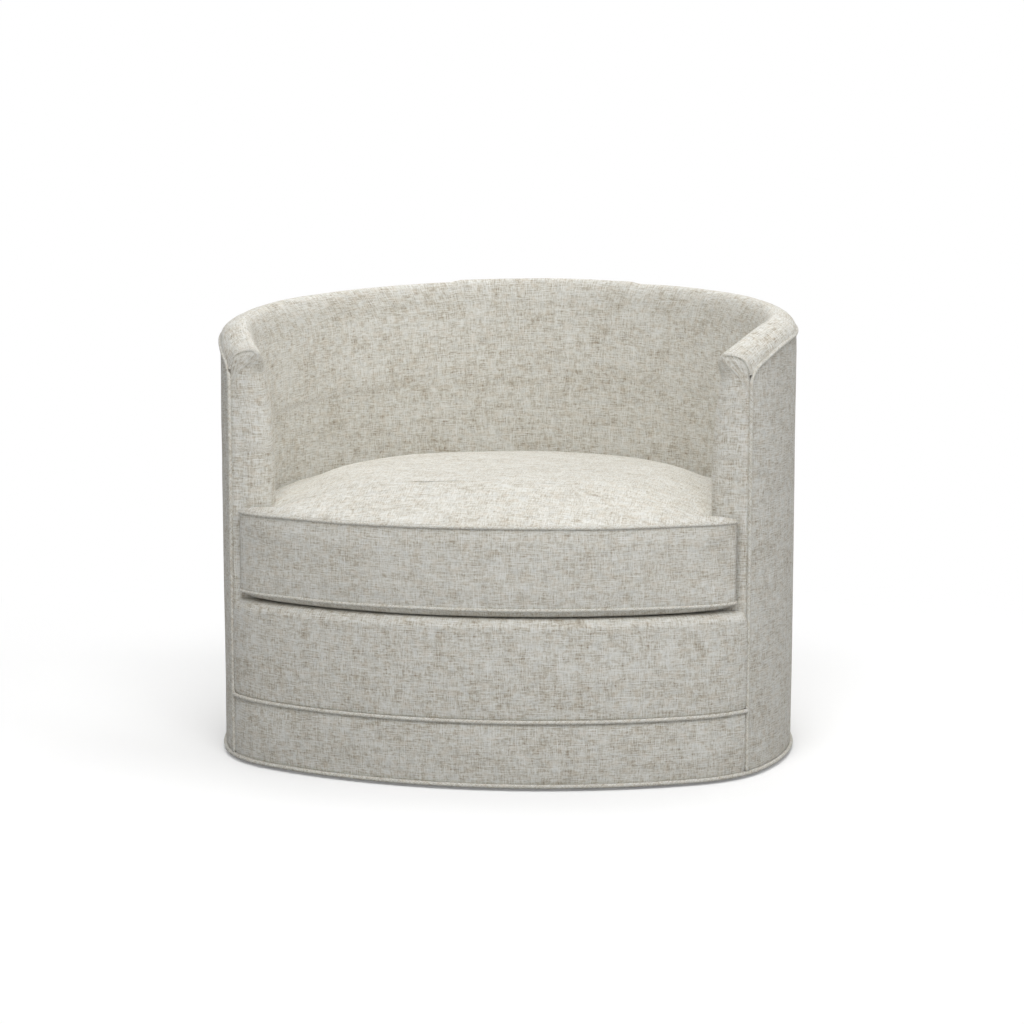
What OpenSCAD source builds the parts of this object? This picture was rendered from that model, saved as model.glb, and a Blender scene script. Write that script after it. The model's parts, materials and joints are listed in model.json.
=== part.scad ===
// Barrel swivel chair: a round upholstered shell with a loose T-shaped cushion, turning on a ball race.
// Millimetres. +Z is up, the chair faces -Y, and the origin lies on the floor under the swivel axis.
// An inset is a distance inwards from the outside face of the shell, square to that face.
// A direction is the angle of the shell's outward normal, from +X towards +Y, in degrees.

/* [Shell plan] */
// Outside radius of the round back and sides
shell_r = 430; // [410:5:460]
// Distance from the swivel axis to the front of the seat rail
front_depth = 335; // [320:5:350]
// Radius of the gently bowed front
front_r = 667.5; // [640:2.5:720]
// Radius of the two front corners
corner_r = 183; // [175:2:200]
// Direction of the front seams, in degrees forward of sideways
seam_angle = 35; // [33:1:38]

/* [Shell heights] */
// Gap between the floor and the bottom welt
floor_gap = 4; // [2:0.5:8]
// Height of the edge welt at the middle of the back
back_top = 664; // [640:2:700]
// Fall of the top edge towards the front, in degrees
top_tilt = 5.1; // [3:0.1:7]
// Distance in front of the axis where the arms start to round down
arm_drop_from = 70; // [50:5:90]
// Radius of that rounding, seen from the side
arm_drop_r = 330; // [300:5:400]
// Radius of the edge welt's turn into the front seam
welt_turn_r = 18; // [14:1:24]
// Height of the padded roll above the edge welt
roll_rise = 25; // [18:1:30]
// Height of the welt across the front
mid_welt_z = 98; // [88:1:108]
// Height of the seat deck
deck_z = 242; // [234:1:252]

/* [Upholstery] */
// Diameter of the shell's welt cord
welt_d = 6; // [4:0.5:8]
// Thickness of the fabric covers
cover_t = 1.6; // [1:0.1:2.2]
// Thickness of the curved outside panel
panel_t = 3.2; // [2:0.2:3.6]
// Thickness of the padded wall at seat height
arm_t = 60; // [54:1:70]
// Inset of the crest of the padded roll
roll_in = 33; // [28:1:38]
// How much thinner the wall is just under the roll
arm_lean = 10; // [4:1:14]
// Depth below the welt at which the wall has its full thickness
lean_depth = 140; // [100:5:180]
// Depth below the welt where the roll runs into the inside face
roll_foot = 16; // [8:1:24]
// Thickness of the foam on the front of the seat rail
front_pad_t = 10; // [7:0.5:13]
// Rounding of the front edge of the deck
rail_edge_r = 14; // [10:1:18]
// How far the front of each arm bulges beyond the seam
arm_bulge = 4.5; // [3:0.5:7]
// Thickness of the felt on the springs
felt_t = 6.5; // [4:0.5:8]
// Thickness of the cambric dust cover
dust_cover_t = 0.8; // [0.6:0.1:1.4]

/* [Cushion] */
// Height of the boxing between the two cushion welts
boxing_h = 115; // [98:1:128]
// Height of the lower cushion welt above the deck
cushion_lift = 13; // [9:1:18]
// Height of the crown above the upper welt
crown_h = 67; // [50:1:80]
// How far the boxing draws in between its welts
boxing_pull = 3; // [1:0.5:5]
// Running gap between the cushion and the shell
cushion_gap = 1.6; // [1.2:0.1:3]
// Diameter of the cushion's welt cord
cushion_welt_d = 5.6; // [4:0.2:7]
// Radius of the tip of each ear, in plan
ear_tip_r = 6; // [5:0.5:8]
// Thickness of the cushion cover with its fibre wrap
wrap_t = 4; // [3:0.5:6]
// Length of the zip, in degrees round the back of the cushion
zip_angle = 72; // [50:2:90]
// Width of the zip's tape
zip_w = 24; // [20:1:30]

/* [Wooden frame] */
// Thickness of the swivel board
board_t = 18; // [15:1:21]
// Inset of the frame's outside face
frame_inset = 8; // [7.5:0.5:10]
// Depth of the posts, in from the outside face
post_d = 22; // [18:1:24]
// Width of the posts, along the shell
post_w = 36; // [28:1:40]
// Number of posts round the back
post_count = 7; // [5:1:9]
// Thickness of the bent front rail
rail_t = 18; // [14:1:20]
// Thickness of the top rail
top_rail_t = 18; // [12:1:20]
// Depth of the top rail's upper face below the edge line
top_rail_drop = 30; // [29:1:34]
// Thickness of the seat ring that carries the springs
seat_ring_t = 18; // [12:1:22]
// Width of that ring
seat_ring_w = 50; // [40:1:60]
// Thickness of the kick band below the board
kick_t = 12; // [9:1:14]
// Length of the glue blocks
block_l = 40; // [30:1:44]

/* [Springs] */
// Number of zigzag springs
spring_count = 5; // [3:2:7]
// Distance between springs
spring_pitch = 84; // [74:1:88]
// Diameter of the spring wire
wire_d = 3.8; // [3:0.1:4.2]
// Length of the straight runs between their bends
spring_run = 30; // [28:1:36]
// Radius of the bends
bend_r = 13; // [10:0.5:14]

/* [Swivel base] */
// Inset of the foot ring's tube, along its centre
ring_in = 185; // [170:5:205]
// Diameter of that tube
tube_d = 22; // [18:1:25]
// Thickness of the nylon under the tube
foot_t = 5; // [3:0.5:7]
// Width of the spokes
spoke_w = 24; // [18:1:28]
// Height of the spokes
spoke_h = 20; // [16:1:22]
// Wall of the spokes
spoke_wall = 2; // [1.5:0.25:3]
// Radius of the hub
hub_r = 40; // [34:1:46]
// Radius of the ball circle
race_r = 85; // [75:1:95]
// Outside radius of the lower race
lower_race_r = 110; // [106:1:114]
// Outside radius of the upper race
upper_race_r = 120; // [118:1:126]
// Thickness of the race plates
race_t = 3; // [2:0.25:4]
// Diameter of the balls
ball_d = 8; // [6:0.5:9]
// Number of balls
ball_count = 24; // [16:1:30]
// Diameter of the king pin
pin_d = 12; // [10:0.5:14]
// Number of bolts through the upper race
race_bolt_count = 6; // [4:1:8]
// Diameter of those bolts
race_bolt_d = 6; // [5:0.5:8]

/* [Hidden] */
$fn = 64;

// Clearance between pieces that touch, and between a shaft and its bore
gap = 0.3;
running_gap = 0.06;
FAR = 600;

FABRIC = "#c9c6be";
WELT = "#d6d3cb";
WOOD = "#d8b98a";
PLY = "#cda874";
FOAM = "#efe6c8";
STEEL = "#9a9da1";
DARK_STEEL = "#4a4c50";
NYLON = "#e4e4e0";
CAMBRIC = "#2b2b2d";

function lerp(a, b, t) = a + (b - a) * t;
function reverse(list) = [for (i = [len(list) - 1:-1:0]) list[i]];

// The shell's plan: two corner arcs join the round back to the bowed front
front_cy = front_r - front_depth;
corner_y = (pow(shell_r - corner_r, 2) - pow(front_r - corner_r, 2) + pow(front_cy, 2)) / (2 * front_cy);
corner_x = sqrt(pow(shell_r - corner_r, 2) - pow(corner_y, 2));
side_dir = atan2(corner_y, corner_x);
front_dir = atan2(corner_y - front_cy, corner_x);
// Each arc of the plan: centre x, centre y, radius, first and last direction
ARCS = [
    [-corner_x, corner_y, corner_r, -180 - side_dir, -180 - front_dir],
    [0, front_cy, front_r, -180 - front_dir, front_dir],
    [corner_x, corner_y, corner_r, front_dir, side_dir],
    [0, 0, shell_r, side_dir, 180 - side_dir],
    [-corner_x, corner_y, corner_r, 180 - side_dir, 180 - front_dir]
];

// Point of the plan at a direction, moved in by an inset
function arc_point(a, dir, inset) = [a[0] + (a[2] - inset) * cos(dir), a[1] + (a[2] - inset) * sin(dir)];
function rim(dir, inset = 0) = [for (a = ARCS) if (dir >= a[3] && dir <= a[4]) arc_point(a, dir, inset)][0];

seam = rim(-seam_angle);
seam_y = seam[1];
welt_r = welt_d / 2;
// How far the middle of the mid welt's cord lies in front of the covers
welt_out = 0.5;
inner_r = shell_r - arm_t;

// Heights of the top edge along Y: the sloping line, the rounding of the arms, and the turn at the seam
function edge_line(y) = back_top - (shell_r - y) * tan(top_tilt);
function arm_drop(y) = y > -arm_drop_from ? 0 : arm_drop_r - sqrt(pow(arm_drop_r, 2) - pow(y + arm_drop_from, 2));
function edge_z(y) = edge_line(y) - arm_drop(y);
function edge_slope(y) = tan(top_tilt)
    + (y > -arm_drop_from ? 0 : -(y + arm_drop_from) / sqrt(pow(arm_drop_r, 2) - pow(y + arm_drop_from, 2)));
// A distance square to the edge, as a height
function beside_edge(y, distance) = distance * sqrt(1 + pow(edge_slope(y), 2));

// Layers of the shell, as insets
panel_in = cover_t + gap;
panel_out = panel_in + panel_t;
post_in = frame_inset + post_d;
padding_in = post_in + gap;
front_pad_in = cover_t + gap;
rail_in = front_pad_in + front_pad_t + gap;
rail_out = rail_in + rail_t;
seat_ring_in = max(post_in, rail_out) + gap;

// Sizes and heights of the swivel and the frame
ring_r = shell_r - ring_in;
tube_r = tube_d / 2;
tube_z = foot_t + tube_r;
spoke_top = tube_z + spoke_h / 2;
ball_r = ball_d / 2;
race_gap = 3;
race_ring_h = ball_r + 1.5;
race_ring_w = ball_d * 2;
ball_z = spoke_top + race_t + race_ring_h + race_gap / 2;
upper_race_z = ball_z + race_gap / 2 + race_ring_h;
board_z = upper_race_z + race_t;
board_top = board_z + board_t;
cover_bottom = floor_gap + welt_d + gap;
frame_bottom = cover_bottom + 1.6;
deck_cover_z = deck_z - cover_t;
felt_z = deck_cover_z - gap - felt_t;
clip_h = wire_d + 1.2;
seat_ring_top = felt_z - gap - clip_h;
rail_top = seat_ring_top;
pin_r = pin_d / 2;

// The front posts stand just behind the seams, and the rail runs between them
front_post_w = post_w + 4;
post_run = front_post_w / 2 + 2.6;
corner_run = max(0, side_dir + seam_angle) * PI / 180 * (corner_r - frame_inset);
front_post_dir = post_run < corner_run
    ? -seam_angle + post_run / (corner_r - frame_inset) * 180 / PI
    : max(side_dir, -seam_angle) + (post_run - corner_run) / (shell_r - frame_inset) * 180 / PI;
// Direction of the plan beside a point of its right half
function dir_beside(p) =
    let(d = atan2(p[1] - corner_y, p[0] - corner_x))
        d > side_dir ? max(side_dir, atan2(p[1], p[0]))
        : d < front_dir ? min(front_dir, atan2(p[1] - front_cy, p[0])) : d;
// The same for a front corner of the right post
function post_corner_dir(depth) =
    dir_beside(rim(front_post_dir, frame_inset)
        - depth * [cos(front_post_dir), sin(front_post_dir)]
        + (front_post_w / 2 + gap) * [sin(front_post_dir), -cos(front_post_dir)]);
rail_end = min(post_corner_dir(0), post_corner_dir(post_d));

// Where the padded wall ends at the front, and the front faces of the arms
wall_end_y = seam_y + 2;
arm_front_y = seam_y - arm_bulge;

// Cushion levels, and the ring of its welts
cushion_bottom_z = deck_z + cushion_lift;
cushion_top_z = cushion_bottom_z + boxing_h;
cushion_welt_r = cushion_welt_d / 2;
cushion_r = inner_r - cushion_gap;
cover_in = cushion_welt_d + 2 * gap;
ear_back_y = arm_front_y - cushion_gap + 0.4;
ear_tilt = 5;
cushion_focus = [0, ear_back_y + 14];

// Wedge of one arc of the plan; neighbouring arcs share the corners of their wedges
REACH = 900;
function reach_from(x, y, dir) = [x + REACH * cos(dir), y + REACH * sin(dir)];
function wedge_end(a, dir, shared) =
    !shared ? [reach_from(a[0], a[1], dir)]
    : a[2] == corner_r ? [reach_from(a[0], a[1], dir)]
    : let(x = cos(dir) > 0 ? corner_x : -corner_x) [[x, corner_y], reach_from(x, corner_y, dir)];

module wedge(a, from, to) {
    first = wedge_end(a, from, from <= a[3] + 0.001);
    last = wedge_end(a, to, to >= a[4] - 0.001);
    polygon(concat(
        [[a[0], a[1]]],
        first,
        [for (i = [1:3]) reach_from(a[0], a[1], lerp(from, to, i / 4))],
        reverse(last)
    ));
}

// Region of the plan at an inset
module outline(inset) {
    for (i = [0:3])
        intersection() {
            translate([ARCS[i][0], ARCS[i][1]]) circle(ARCS[i][2] - inset, $fn = 180);
            wedge(ARCS[i], ARCS[i][3], ARCS[i][4]);
        }
}

module band(outer, inner) {
    difference() {
        outline(outer);
        outline(inner);
    }
}

// Sweeps a section along the plan; the section's X is minus the inset, and its Y is the height
module sweep(first, last) {
    for (a = ARCS) {
        from = max(first, a[3]);
        to = min(last, a[4]);
        if (to > from + 0.01)
            intersection() {
                translate([a[0], a[1], 0])
                    rotate_extrude($fn = 180)
                        translate([a[2], 0])
                            children();
                linear_extrude(deck_z + 10) wedge(a, from, to);
            }
    }
}

// Everything behind the front seams and under the top edge, with the edge and the seams moved in by a drop
module under_edge(bottom, drop) {
    turn = welt_turn_r;
    start_y = seam_y + drop;
    slope = [for (y = [shell_r + 20, -arm_drop_from, -arm_drop_from - 30, -arm_drop_from - 60, start_y + turn + 12])
        [y, edge_z(y) - beside_edge(y, drop)]];
    corner = [for (a = [0:22.5:90]) let(y = start_y + turn * (1 - sin(a)))
        [y, edge_z(y) - beside_edge(y, drop) - turn * (1 - cos(a))]];
    translate([-FAR, 0, 0])
        rotate([90, 0, 90])
            linear_extrude(2 * FAR)
                polygon(concat([[start_y, bottom], [shell_r + 20, bottom]], slope, corner));
}

// Everything above a plane that follows the slope of the top edge
module above_slope(drop, height) {
    translate([0, 0, edge_line(0) - drop])
        rotate([top_tilt, 0, 0])
            translate([-FAR, -FAR, 0])
                cube([2 * FAR, 2 * FAR, height]);
}

// Everything in front of a Y
module in_front_of(y) {
    translate([-FAR, y - FAR, -1]) cube([2 * FAR, FAR, 2 * FAR]);
}

// Closed skin through rings of as many points each; the rings run so that their ends are capped
module skin(rings) {
    n = len(rings[0]);
    m = len(rings);
    points = [for (ring = rings) for (p = ring) p];
    sides = [for (i = [0:m - 2]) for (j = [0:n - 1])
        let(k = (j + 1) % n, a = i * n + j, b = i * n + k, c = a + n, d = b + n)
            for (f = [[a, b, d], [a, d, c]]) f];
    first = [for (j = [1:n - 2]) [0, j + 1, j]];
    last = [for (j = [1:n - 2]) [(m - 1) * n, (m - 1) * n + j, (m - 1) * n + j + 1]];
    polyhedron(points = points, faces = concat(sides, first, last));
}

// Round cord along points that each carry the outward normal of what the cord lies on
function ring_at(p, normal, along, r, sides) =
    let(side = cross(along, normal))
        [for (i = [0:sides - 1]) let(a = -360 * i / sides) p + r * (cos(a) * normal + sin(a) * side)];
function unit(v) = v / norm(v);
function tangent(path, i) = unit(path[min(i + 1, len(path) - 1)][0] - path[max(i - 1, 0)][0]);
function cord_rings(path, r, sides) = [for (i = [0:len(path) - 1]) ring_at(path[i][0], path[i][1], tangent(path, i), r, sides)];

module floor_ring() color(NYLON)
    rotate_extrude()
        difference() {
            translate([ring_r - tube_r - 1, 0]) square([tube_d + 2, foot_t + tube_r * 0.55]);
            translate([ring_r, tube_z]) circle(tube_r + gap / 3);
        }

module base_ring() color(DARK_STEEL)
    rotate_extrude()
        translate([ring_r, tube_z]) circle(tube_r);

module base_spokes() color(DARK_STEEL)
    for (a = [45:90:315]) rotate([0, 0, a])
        difference() {
            translate([hub_r - 4, -spoke_w / 2, spoke_top - spoke_h]) cube([ring_r - hub_r + 4, spoke_w, spoke_h]);
            translate([0, spoke_wall - spoke_w / 2, spoke_top - spoke_h + spoke_wall])
                cube([ring_r, spoke_w - 2 * spoke_wall, spoke_h - 2 * spoke_wall]);
            cylinder(h = FAR, r = hub_r + gap / 3);
            rotate_extrude() translate([ring_r, tube_z]) circle(tube_r + gap / 3);
            // Room for the rim of the floor ring
            rotate_extrude() translate([ring_r - tube_r - 1 - gap, 0]) square([tube_d, foot_t + tube_r * 0.55 + gap]);
        }

module hub_boss() color(DARK_STEEL)
    difference() {
        translate([0, 0, spoke_top - spoke_h]) cylinder(h = spoke_h, r = hub_r);
        cylinder(h = FAR, r = pin_r + running_gap);
        cylinder(h = spoke_top - spoke_h / 2, r = pin_d + 2);
    }

module lower_race() color(STEEL)
    rotate_extrude()
        difference() {
            union() {
                translate([pin_r + running_gap, spoke_top]) square([lower_race_r - pin_r - running_gap, race_t]);
                translate([race_r - race_ring_w / 2, spoke_top]) square([race_ring_w, race_t + race_ring_h]);
            }
            translate([race_r, ball_z]) circle(ball_r + 0.2);
        }

pin_head_h = 7.5;
washer_t = 2.5;
nut_h = 10;
hex_r = pin_d * 0.92;
washer_z = board_z + 0.2;

module king_pin() color(STEEL) {
    head_top = spoke_top - spoke_h / 2;
    translate([0, 0, head_top - pin_head_h]) cylinder(h = pin_head_h, r = hex_r, $fn = 6);
    translate([0, 0, head_top]) cylinder(h = washer_z + washer_t + nut_h + 3 - head_top, r = pin_r);
}

module king_pin_washer() color(STEEL)
    translate([0, 0, washer_z])
        difference() {
            cylinder(h = washer_t, r = pin_d * 1.3);
            translate([0, 0, -1]) cylinder(h = washer_t + 2, r = pin_r + running_gap);
        }

module king_pin_nut() color(STEEL)
    translate([0, 0, washer_z + washer_t])
        difference() {
            cylinder(h = nut_h, r = hex_r, $fn = 6);
            translate([0, 0, -1]) cylinder(h = nut_h + 2, r = pin_r + running_gap);
        }

module ball_cage() color(NYLON)
    difference() {
        cage_t = race_gap - 1.4;
        translate([0, 0, ball_z - cage_t / 2])
            difference() {
                cylinder(h = cage_t, r = race_r + ball_d + 1.5);
                translate([0, 0, -1]) cylinder(h = cage_t + 2, r = race_r - ball_d - 1.5);
            }
        for (i = [0:ball_count - 1]) rotate([0, 0, i * 360 / ball_count])
            translate([race_r, 0, 0]) cylinder(h = FAR, r = ball_r + 0.15);
    }

module bearing_balls() color(STEEL)
    for (i = [0:ball_count - 1]) rotate([0, 0, i * 360 / ball_count])
        translate([race_r, 0, ball_z]) sphere(ball_r);

bolt_circle = (race_r + race_ring_w / 2 + upper_race_r) / 2 + 1;
race_bolt_r = race_bolt_d / 2;

module upper_race() color(STEEL)
    difference() {
        rotate_extrude()
            difference() {
                union() {
                    translate([pin_r + running_gap, upper_race_z]) square([upper_race_r - pin_r - running_gap, race_t]);
                    translate([race_r - race_ring_w / 2, ball_z + race_gap / 2]) square([race_ring_w, race_ring_h + race_t]);
                    translate([pin_r + running_gap, ball_z + race_gap / 2]) square([pin_r, race_ring_h + race_t]);
                }
                translate([race_r, ball_z]) circle(ball_r + 0.2);
            }
        race_bolt_places() cylinder(h = FAR, r = race_bolt_r + 0.2);
    }

module race_bolt_places() {
    for (i = [0:race_bolt_count - 1]) rotate([0, 0, (i + 0.5) * 360 / race_bolt_count])
        translate([bolt_circle, 0, 0]) children();
}

module race_bolts() color(STEEL)
    race_bolt_places() {
        head_h = race_bolt_d * 0.5;
        translate([0, 0, upper_race_z - head_h]) cylinder(h = head_h, r = race_bolt_d * 0.85);
        translate([0, 0, upper_race_z]) cylinder(h = race_t + board_t - 3, r = race_bolt_r);
    }

module swivel_board() color(PLY)
    difference() {
        translate([0, 0, board_z]) linear_extrude(board_t) outline(frame_inset);
        cylinder(h = FAR, r = pin_d * 2.6);
        race_bolt_places() cylinder(h = board_top - 2, r = race_bolt_r + 0.2);
    }

module kick_band() color(PLY)
    translate([0, 0, frame_bottom]) linear_extrude(board_z - frame_bottom) band(frame_inset, frame_inset + kick_t);

module front_rail() color(PLY)
    sweep(-180 - rail_end, rail_end)
        translate([-rail_out, board_top]) square([rail_t, rail_top - board_top]);

// A post with its outside face on the frame line, up to the underside of the top rail
module post(dir, width) {
    difference() {
        translate(concat(rim(dir, frame_inset), [board_top]))
            rotate([0, 0, dir])
                translate([-post_d, -width / 2, 0])
                    cube([post_d, width, FAR]);
        above_slope(top_rail_drop + top_rail_t, FAR);
    }
}

module front_post_right() color(WOOD) post(front_post_dir, front_post_w);

module front_post_left() color(WOOD) post(180 - front_post_dir, front_post_w);

module back_posts() color(WOOD)
    for (i = [0:post_count - 1]) post(i * 180 / (post_count - 1), post_w);

module top_rail() color(PLY)
    difference() {
        intersection() {
            translate([0, 0, deck_z]) linear_extrude(FAR) band(frame_inset, post_in);
            above_slope(top_rail_drop + top_rail_t, top_rail_t);
        }
        in_front_of(wall_end_y + 4);
    }

module seat_ring() color(PLY)
    translate([0, 0, seat_ring_top - seat_ring_t])
        linear_extrude(seat_ring_t) band(seat_ring_in, seat_ring_in + seat_ring_w);

// Blocks glued into the angle between the board and what stands on it
module glue_blocks() color(WOOD) {
    for (dir = [-75, -105]) glue_block(rim(dir, rail_out + 2 * gap), dir);
    for (i = [2, post_count - 3]) glue_block(rim(i * 180 / (post_count - 1), post_in + gap), i * 180 / (post_count - 1));
}

module glue_block(place, dir) {
    translate(concat(place, [board_top]))
        rotate([0, 0, dir])
            rotate([90, 0, 0])
                translate([0, 0, -block_l / 2])
                    linear_extrude(block_l)
                        polygon([[0, 0], [0, block_l], [-block_l * 0.3, block_l], [-block_l, block_l * 0.3], [-block_l, 0]]);
}

// Zigzag springs lie across the opening of the seat ring, with their ends on it
wire_r = wire_d / 2;
wire_z = seat_ring_top + wire_r + 0.1;
ring_inner = seat_ring_in + seat_ring_w;
spring_tail = 22;
function spring_x(i) = (i - (spring_count - 1) / 2) * spring_pitch;
function spring_back(x) = sqrt(pow(shell_r - ring_inner, 2) - x * x);
function spring_front(x) = front_cy - sqrt(pow(front_r - ring_inner, 2) - x * x);

// Straight wire from a place, slightly thinner so that its ends lie inside the bends
module wire_run(x, y, dir, length) {
    translate([x, y, wire_z]) rotate([0, 90, dir]) translate([0, 0, -0.3]) cylinder(h = length + 0.6, r = wire_r - 0.03);
}

module wire_bend(x, y, from, angle) {
    translate([x, y, wire_z])
        rotate([0, 0, from])
            rotate_extrude(angle = angle, $fn = 48) translate([bend_r, 0]) circle(wire_r, $fn = 24);
}

module spring(x) {
    reach = spring_run / 2;
    low = spring_front(x) + 4;
    count = 2 * floor((spring_back(x) - 4 - low) / (4 * bend_r));
    from = low + (spring_back(x) - 4 - low - (count + 2) * 2 * bend_r) / 2 + 2 * bend_r;
    for (i = [0:count - 1]) {
        side = i % 2 == 0 ? 1 : -1;
        wire_bend(x + side * reach, from + (2 * i + 1) * bend_r, -90 * side, 180);
        if (i < count - 1) wire_run(x - reach, from + (2 * i + 2) * bend_r, 0, 2 * reach);
    }
    end_y = from + count * 2 * bend_r;
    // Each end turns into a straight tail over the seat ring
    wire_run(x + bend_r, from, 0, reach - bend_r);
    wire_bend(x + bend_r, from - bend_r, 90, 90);
    wire_run(x, spring_front(x) - spring_tail, 90, from - bend_r - spring_front(x) + spring_tail);
    wire_run(x - reach, end_y, 0, reach - bend_r);
    wire_bend(x - bend_r, end_y + bend_r, -90, 90);
    wire_run(x, end_y + bend_r, 90, spring_back(x) + spring_tail - end_y - bend_r);
}

module seat_springs() color(STEEL)
    for (i = [0:spring_count - 1]) spring(spring_x(i));

module spring_clips() color(DARK_STEEL)
    for (i = [0:spring_count - 1])
        for (y = [spring_front(spring_x(i)) - 10, spring_back(spring_x(i)) + 10])
            translate([spring_x(i), y, seat_ring_top])
                difference() {
                    translate([-11, -6, 0]) cube([22, 12, clip_h]);
                    translate([0, 8, wire_r + 0.1]) rotate([90, 0, 0]) cylinder(h = 16, r = wire_r + 0.1);
                    translate([-wire_r - 0.1, -8, -1]) cube([wire_d + 0.2, 16, wire_r + 1.1]);
                }

module deck_felt() color("#6f6a62")
    translate([0, 0, felt_z]) linear_extrude(felt_t) outline(seat_ring_in);

module deck_cover() color(FABRIC)
    translate([0, 0, deck_cover_z]) linear_extrude(cover_t) outline(seat_ring_in);

module dust_cover() color(CAMBRIC)
    translate([0, 0, board_z - gap / 2 - dust_cover_t])
        linear_extrude(dust_cover_t)
            difference() {
                outline(frame_inset + kick_t + 1);
                circle(upper_race_r + 4);
            }

module outside_panel() color("#b9a582")
    intersection() {
        translate([0, 0, 1]) linear_extrude(2 * FAR) band(panel_in, panel_out);
        under_edge(frame_bottom, welt_r + gap);
    }

module outside_cover() color(FABRIC)
    intersection() {
        translate([0, 0, 1]) linear_extrude(2 * FAR) band(0, cover_t);
        under_edge(cover_bottom, welt_r + gap);
    }

// Directions of the padded wall's sections and of the welt's path, close together where the arms round down
wall_dir = asin((wall_end_y - corner_y) / corner_r);
turn_top_dir = asin((seam_y + welt_turn_r - corner_y) / corner_r);
arm_end_dir = asin(-arm_drop_from / shell_r);
TURN_DIRS = [for (i = [0:3]) lerp(wall_dir, turn_top_dir, i / 4)];
ARM_DIRS = [for (i = [0:6]) lerp(turn_top_dir, arm_end_dir, i / 7)];
BACK_DIRS = [for (i = [0:24]) lerp(arm_end_dir, 180 - arm_end_dir, i / 24)];
EDGE_DIRS = concat(ARM_DIRS, BACK_DIRS, [for (dir = reverse(ARM_DIRS)) 180 - dir]);
WALL_DIRS = concat(TURN_DIRS, EDGE_DIRS, [for (dir = reverse(TURN_DIRS)) 180 - dir]);
WALL_SHARES = [for (dir = WALL_DIRS) (dir - wall_dir) / (180 - 2 * wall_dir)];

// The padded wall: its sections run from the outside face to the inside face
inside_dir = asin(wall_end_y / inner_r);
function wall_plan(u, s) =
    let(a = lerp(inside_dir, 180 - inside_dir, u))
        lerp(rim(lerp(wall_dir, 180 - wall_dir, u)), inner_r * [cos(a), sin(a)], s / arm_t);
// Place along a section at which the wall has a true inset
function section_at(u, inset) =
    let(
        dir = lerp(wall_dir, 180 - wall_dir, u),
        arc = [for (a = ARCS) if (dir >= a[3] && dir <= a[4]) a][0],
        out = rim(dir) - [arc[0], arc[1]],
        step = wall_plan(u, 1) - rim(dir),
        b = out * step,
        c = out * out - pow(arc[2] - inset, 2)
    )
    (-b - sqrt(b * b - step * step * c)) / (step * step);
// Height of the inside cover's edge over the edge line: it stays clear of the welt where that turns down
cover_edge = welt_r + gap;
function over_welt(y) =
    let(ahead = seam_y + welt_turn_r - y, over = beside_edge(y, cover_edge))
        ahead < 0 ? over : sqrt(pow(welt_turn_r + over, 2) - pow(ahead, 2)) - welt_turn_r;
// The roll's section, as inset and height over the edge line, drawn in by a depth
roll_w = arm_t - arm_lean - roll_in;
function roll(t) = concat(
    [[max(t, gap), cover_edge]],
    [for (a = [22.5:22.5:90]) [roll_in - (roll_in - t) * cos(a), (roll_rise - t) * sin(a)]],
    [for (a = [22.5:22.5:90]) [roll_in + (roll_w - t) * sin(a), roll_rise - t - (roll_rise + roll_foot - t) * (1 - cos(a))]],
    [[arm_t - t, -lean_depth]]
);
function on_edge(u, p, turned = false) =
    let(q = wall_plan(u, p[0])) [q[0], q[1], edge_z(q[1]) + (turned ? over_welt(q[1]) : p[1])];
function at_height(u, s, z) = concat(wall_plan(u, s), [z]);
function face_points(u, t, bottom) =
    let(line = roll(t))
        concat([on_edge(u, line[0], true)], [for (i = [1:len(line) - 1]) on_edge(u, line[i])], [at_height(u, arm_t - t, bottom)]);

module inside_cover() color(FABRIC)
    skin([for (u = WALL_SHARES)
        reverse(concat(face_points(u, 0, deck_z + gap), reverse(face_points(u, cover_t, deck_z + gap))))]);

padding_t = cover_t + gap;
padding_out = panel_out + gap;
function above_rail(u, s) =
    let(q = wall_plan(u, s)) [q[0], q[1], edge_line(q[1]) - top_rail_drop + gap];
function padding_ring(u) =
    let(deep = section_at(u, padding_in), shallow = section_at(u, padding_out))
    concat(
        face_points(u, padding_t, deck_z + gap),
        [at_height(u, deep, deck_z + gap), above_rail(u, deep), above_rail(u, shallow)],
        [on_edge(u, [shallow, welt_r / 2])]
    );

module wall_padding() color(FOAM)
    skin([for (u = WALL_SHARES) reverse(padding_ring(u))]);

// Front of an arm: a domed panel on the outline of the wall's section
function front_x(s) = lerp(seam[0], sqrt(pow(inner_r, 2) - pow(seam_y, 2)), s / arm_t);
arm_edge_in = welt_r + gap + 0.6;
ARM_LINE = concat(
    [[front_x(arm_t), deck_z + 2 * gap]],
    [[front_x(arm_edge_in), deck_z + 2 * gap], [front_x(arm_edge_in), edge_z(seam_y) - welt_turn_r]],
    [for (p = roll(0)) [front_x(max(p[0], arm_edge_in)), edge_z(seam_y) + p[1]]]
);
ARM_MIDDLE = [front_x(arm_t / 2), (deck_z + edge_z(seam_y)) / 2];
function arm_ring(y, in) = [for (p = ARM_LINE)
    let(w = abs(front_x(arm_t) - front_x(0)) / 2, h = edge_z(seam_y) - ARM_MIDDLE[1])
        [lerp(p[0], ARM_MIDDLE[0], in / w), y, lerp(p[1], ARM_MIDDLE[1], in / h)]];

module arm_front_right() color(FABRIC)
    skin([arm_ring(wall_end_y - gap, 0), arm_ring(seam_y, 0), arm_ring(seam_y - arm_bulge * 0.7, 3), arm_ring(arm_front_y, 10)]);

module arm_front_left() color(FABRIC)
    mirror([1, 0, 0]) arm_front_right();

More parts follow.
